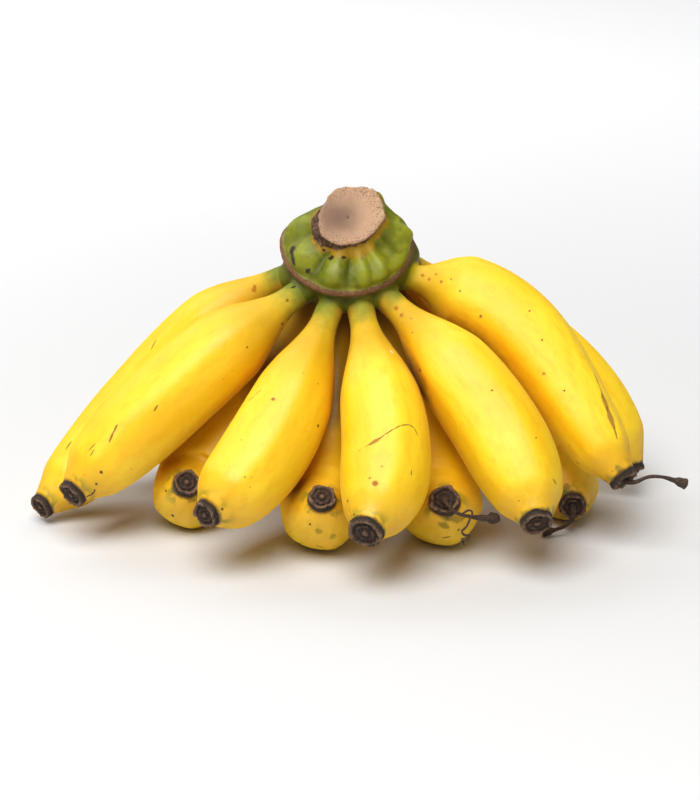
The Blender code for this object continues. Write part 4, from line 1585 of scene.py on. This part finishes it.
@dataclass(frozen=True)
class DriedFinish:
    """The flower's dried remains, crusty and matt: dark hollows, partly the tissue's own dark and partly
    painted shade, and paler folds, partly the tissue's own lighter colour and partly painted highlight.
    """

    dark: Colour = colour(34, 23, 15)
    middle: Colour = colour(90, 64, 44)
    # fold: paler colour of the raised folds, partly the tissue's own and partly painted highlight.
    fold: Colour = colour(146, 112, 84)

    def build(self, effects: Effects) -> Material:
        """Makes the material of all dried remnants.

        Args:
            effects: the shared groups.

        Returns:
            The material.
        """
        material, sketch, shader = new_material("dried_flower")
        place = sketch.vector("SCALE", sketch.solid(), 1 / MM)
        feeds = {"Place": place, "Scale": 1.5, "Dark": self.dark, "Light": self.middle}
        shade, crust = sketch.group(effects.crust, feeds)
        uneven = (sketch.cloud(place, 0.9, 4.0, 0.6) - 0.5) * 1.6
        raised = sketch.parts(sketch.attribute("cup_at", "Vector"))[2] + uneven
        # Painted shade in the cup's low parts and painted highlight on its raised folds, by height over the
        # tip, over the crust's own dark brown.
        shade = sketch.blend(sketch.step(raised, 1.1, 0.3), shade, self.dark)
        crest = sketch.step(raised, 1.3, 2.3) * 0.8
        sketch.feed(shader.inputs["Base Color"], sketch.blend(crest, shade, self.fold))
        sketch.feed(shader.inputs["Roughness"], sketch.lerp(crust, 0.6, 0.85))
        bump(sketch, shader, crust, 0.8, 0.0006)
        return material


@dataclass(frozen=True)
class Thread:
    """A dried thread as offsets from the remnant and radii, both in millimetres."""

    offsets: tuple[Place, ...]
    radii: tuple[float, ...]


THREADS: dict[int, tuple[Thread, ...]] = {
    6: (Thread(
        ((0, 0, 0), (3, -2.2, 0.2), (7.5, -3.2, 2.6), (12.5, -3.4, 2.9), (17, -3.4, 1.6),
         (19.4, -3.4, 0.8), (21.6, -3.4, -0.2), (22.2, -3.4, -0.5)),
        (1.3, 0.75, 0.6, 0.6, 0.8, 1.7, 1.8, 0.7)),),
    10: (Thread(
        ((0, 0, 0), (0.8, -3.6, -0.6), (4.5, -5, -3.4), (9.5, -5.4, -4.6), (14.5, -5.6, -5.2),
         (17, -5.7, -5.2), (19.2, -5.8, -4.7), (19.8, -5.8, -4.5)),
        (1.3, 0.8, 0.6, 0.7, 1.1, 2, 1.5, 0.6)), Thread(
        ((6, -5, -3.8), (8.6, -6.2, -1.8), (9.8, -7.2, -2.4), (8.8, -8.6, -4.6), (7.6, -9.6, -6.8),
         (6, -10.4, -8.2), (7, -10.8, -9.6), (8.6, -10.9, -9.6), (7.9, -11, -11.2), (6.2, -11, -11.2),
         (6.8, -11, -13.4)),
        (0.3, 0.34, 0.36, 0.36, 0.36, 0.42, 0.42, 0.4, 0.42, 0.5, 0.3))),
    11: (Thread(
        ((0, 0, 0), (-0.2, -3.6, -2.6), (-2.6, -4.8, -5.2), (-6.5, -5.2, -6.9), (-9.2, -5.3, -7.5),
         (-11.2, -5.5, -7.9), (-11.8, -5.5, -8)),
        (1.3, 0.8, 0.6, 0.7, 1.6, 1.7, 0.7)),),
}


@dataclass
class BlossomEnd:
    """The dried remnant of the flower on a finger's tip."""

    plan: FingerPlan
    sides: int = 96
    crumple: float = 0.5
    corner: float = 0.04
    seed_step: float = 3.1
    gap: float = 0.3
    thread_root: float = 1.9
    thread_steps: int = 6
    thread_height: float = 1.4
    profile: Knots = (
        (0, 1.8), (0.11, 1.9), (0.19, 1.5), (0.25, 1), (0.32, 0.9), (0.4, 1.2), (0.48, 1.5), (0.55, 1.4),
        (0.61, 1), (0.69, 1.1), (0.78, 1.7), (0.87, 2), (0.95, 1.9), (1, 1.3), (1.02, 0.5), (1.01, -0.3),
        (0.96, -0.9), (0.84, -1.3),
    )

    def build(self, line: Centreline, tree: NodeTree, dry: Material) -> Object:
        """Makes the remnant and any thread on it.

        Args:
            line: the finger's middle line.
            tree: the sweep's rule, for the threads.
            dry: the material.

        Returns:
            The finished piece.
        """
        name = "flower_remnant_%02d" % self.plan.number
        things = [self.disc(name, line, dry)]
        for count, thread in enumerate(THREADS.get(self.plan.number, ())):
            things.append(self.thread("%s_thread_%d" % (name, count), thread, line, tree, dry))
        thing = join(name, things)
        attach(thing, BODY)
        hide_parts("blossom_end_%02d" % self.plan.number)
        return thing

    def disc(self, name: str, line: Centreline, dry: Material) -> Object:
        """The crusty cup with its folded rim and the stump in its middle."""
        turn = line.arrive.to_track_quat("Z", "Y").to_matrix()
        foot = line.tip + line.arrive * self.gap * MM
        rows, places = [], []
        work = bmesh.new()
        for share, height in self.between(self.profile, 3):
            row = [self.crumpled(ROUND * i / self.sides, share, height) for i in range(self.sides)]
            rows.append([work.verts.new(foot + turn @ (place * MM)) for place in row])
            places.extend(row)
        cover(work, rows, (-1,))
        mesh = plain_mesh(name, work)
        polar = [(math.hypot(at.x, at.y) / self.plan.end, math.atan2(at.y, at.x), at.z) for at in places]
        note(mesh, "cup_at", polar)
        thing = add_object(name, mesh)
        dress(thing, dry)
        outward(thing)
        return thing

    def crumpled(self, angle: float, share: float, height: float) -> Vector:
        """A point of the cup, shrivelled by noise.

        Args:
            angle: bearing round the cup.
            share: distance from its middle as a share of the tip's radius.
            height: height over the tip in millimetres.

        Returns:
            The point in the cup's own millimetres.
        """
        seed = self.plan.number * self.seed_step
        reach = share * self.plan.end
        flat = Vector((math.cos(angle), math.sin(angle), 0.0))
        wide = noise.noise(flat * 1.1 + Vector((0.0, 0.0, seed)))
        corner = math.cos(5.0 * angle + seed + 1.5 * wide)
        rough = noise.fractal(flat * reach * 0.75 + Vector((seed, height * 0.6, 0.0)), 0.7, 2.0, 4)
        fold = math.cos(6.0 * (angle + 0.55 * reach) + 4.0 * wide + seed)
        outer = float(smoothstep(0.2, 0.9, share))
        reach *= 1.0 + outer * (0.09 * wide + self.corner * corner) + 0.05 * rough
        if height > 0.0:
            height += self.crumple * (0.4 + 0.6 * outer) * rough + 0.16 * fold * outer + 0.3 * wide * outer
        return Vector((flat.x * reach, flat.y * reach, height))

    @staticmethod
    def between(knots: Knots, steps: int) -> list[tuple[float, float]]:
        """Points on a smooth curve through the profile's knots."""
        found = []
        for knot in range(len(knots) - 1):
            four = [Vector(corner) for corner in corners(knots, knot)]
            for step in range(steps):
                at = spline(four, step / steps)
                found.append((max(at.x, 0.0), at.y))
        found.append(knots[-1])
        return found

    def thread(self, name: str, thread: Thread, line: Centreline, tree: NodeTree, dry: Material) -> Object:
        """A dried style, thin along its length and thick at its end."""
        start = line.tip + line.arrive * self.thread_root * MM
        knots = [start + Vector(offset) * MM for offset in thread.offsets]
        swept = SweptLine()
        last = len(knots) - 1
        side = Vector((0.0, 1.0, 0.2)).normalized()
        for index in range(last * self.thread_steps + 1):
            knot = min(index // self.thread_steps, last - 1)
            t = index / self.thread_steps - knot
            a, b, c, d = corners(knots, knot)
            bend, twist = 2 * a - 5 * b + 4 * c - d, 3 * b - a - 3 * c + d
            ahead = (c - a + 2 * bend * t + 3 * twist * t**2).normalized()
            side = (side - side.dot(ahead) * ahead).normalized()
            before, after = thread.radii[knot:knot + 2]
            girth = before + (after - before) * float(smoothstep(0.0, 1.0, t))
            swept.add((spline((a, b, c, d), t), side, ahead.cross(side)), girth * MM, index * 0.6, 1.0)
        sizes = SweepSizes(16, 0.12, 1.6, 0.9, self.plan.number * 5.0)
        thing = swept.sweep(name, tree, sizes, dry)
        note(thing.data, "cup_at", [(0.0, 0.0, self.thread_height)] * len(thing.data.vertices))
        outward(thing)
        return thing


@dataclass
class Studio:
    """The pale floor, the soft light and the camera at the photograph's angle."""

    eye: Place = (-1.26, -888.37, 372.45)
    look_down: float = 20.0
    lens: float = 113.7
    floor_half: float = 6.0
    sky: float = 0.11

    def build(self) -> None:
        """Sets up the floor, the lights and the camera."""
        self.floor()
        self.world()
        self.lamp("key", (-0.25, -0.55, 1.25), (0.0, 0.0, 0.05), 1.1, 27.0)
        self.lamp("fill", (0.9, -0.7, 0.55), (0.0, 0.0, 0.05), 1.0, 1.0)
        self.lamp("rim", (-0.9, 0.75, 1.0), (0.0, 0.0, 0.08), 0.9, 6.0)
        self.lamp("backdrop", (0.0, 1.6, 1.6), (0.0, 1.6, 0.0), 1.6, 16.0)
        self.camera()
        bpy.context.scene.view_settings.view_transform = "Standard"

    def floor(self) -> None:
        """A wide plain floor, paler far away, so that it looks evenly white."""
        work = bmesh.new()
        bmesh.ops.create_grid(work, x_segments=8, y_segments=8, size=self.floor_half)
        floor = add_object("floor", plain_mesh("floor", work))
        material, sketch, shader = new_material("studio_floor")
        solid = sketch.solid()
        uneven = sketch.cloud(solid, 3.0, 2.0) * 0.05
        away = sketch.vector("LENGTH", solid) + uneven
        shade = sketch.blend(sketch.step(away, 0.15, 0.9), colour(208, 208, 208), colour(250, 250, 250))
        sketch.feed(shader.inputs["Base Color"], shade)
        shader.inputs["Roughness"].default_value = 0.9
        floor.data.materials.append(material)

    def world(self) -> None:
        """An even white surrounding."""
        world = bpy.data.worlds.new("studio")
        world.use_nodes = True
        back = world.node_tree.nodes["Background"]
        back.inputs["Color"].default_value = WHITE
        back.inputs["Strength"].default_value = self.sky
        bpy.context.scene.world = world

    @staticmethod
    def lamp(name: str, at: Place, towards: Place, size: float, power: float) -> None:
        """A soft box that looks at one place."""
        data = bpy.data.lights.new(name, "AREA")
        data.shape = "SQUARE"
        data.size = size
        data.energy = power
        lamp = add_object(name, data)
        lamp.location = at
        lamp.rotation_mode = "QUATERNION"
        lamp.rotation_quaternion = (Vector(towards) - Vector(at)).to_track_quat("-Z", "Y")

    def camera(self) -> None:
        """The camera where the photographer's was."""
        data = bpy.data.cameras.new("camera")
        data.lens = self.lens
        data.clip_start = 0.01
        data.clip_end = 50.0
        camera = add_object("camera", data)
        camera.location = Vector(self.eye) * MM
        camera.rotation_euler = (math.radians(90.0 - self.look_down), 0.0, 0.0)
        bpy.context.scene.camera = camera


def report(thing: Object) -> None:
    """Logs a finished piece and its size in faces."""
    log.info("%s: %d faces", thing.name, len(thing.data.polygons))


def main() -> None:
    """Builds the studio and every piece of the hand."""
    logging.basicConfig(level=logging.INFO, format="%(name)s %(message)s")
    Studio().build()
    effects = Effects()
    tree = sweep_tree("finger_sweep")
    lines = {plan.number: Centreline(plan) for plan in FINGERS}
    report(Crown().build(list(lines.values()), CrownFinish().build(effects)))
    finish = SkinFinish()
    dry = DriedFinish().build(effects)
    for plan in FINGERS:
        line = lines[plan.number]
        others = [other for number, other in lines.items() if number != plan.number]
        report(Finger(plan).build(line, others, tree, finish.build(effects, line)))
        report(BlossomEnd(plan).build(line, tree, dry))


if __name__ == "__main__":
    main()
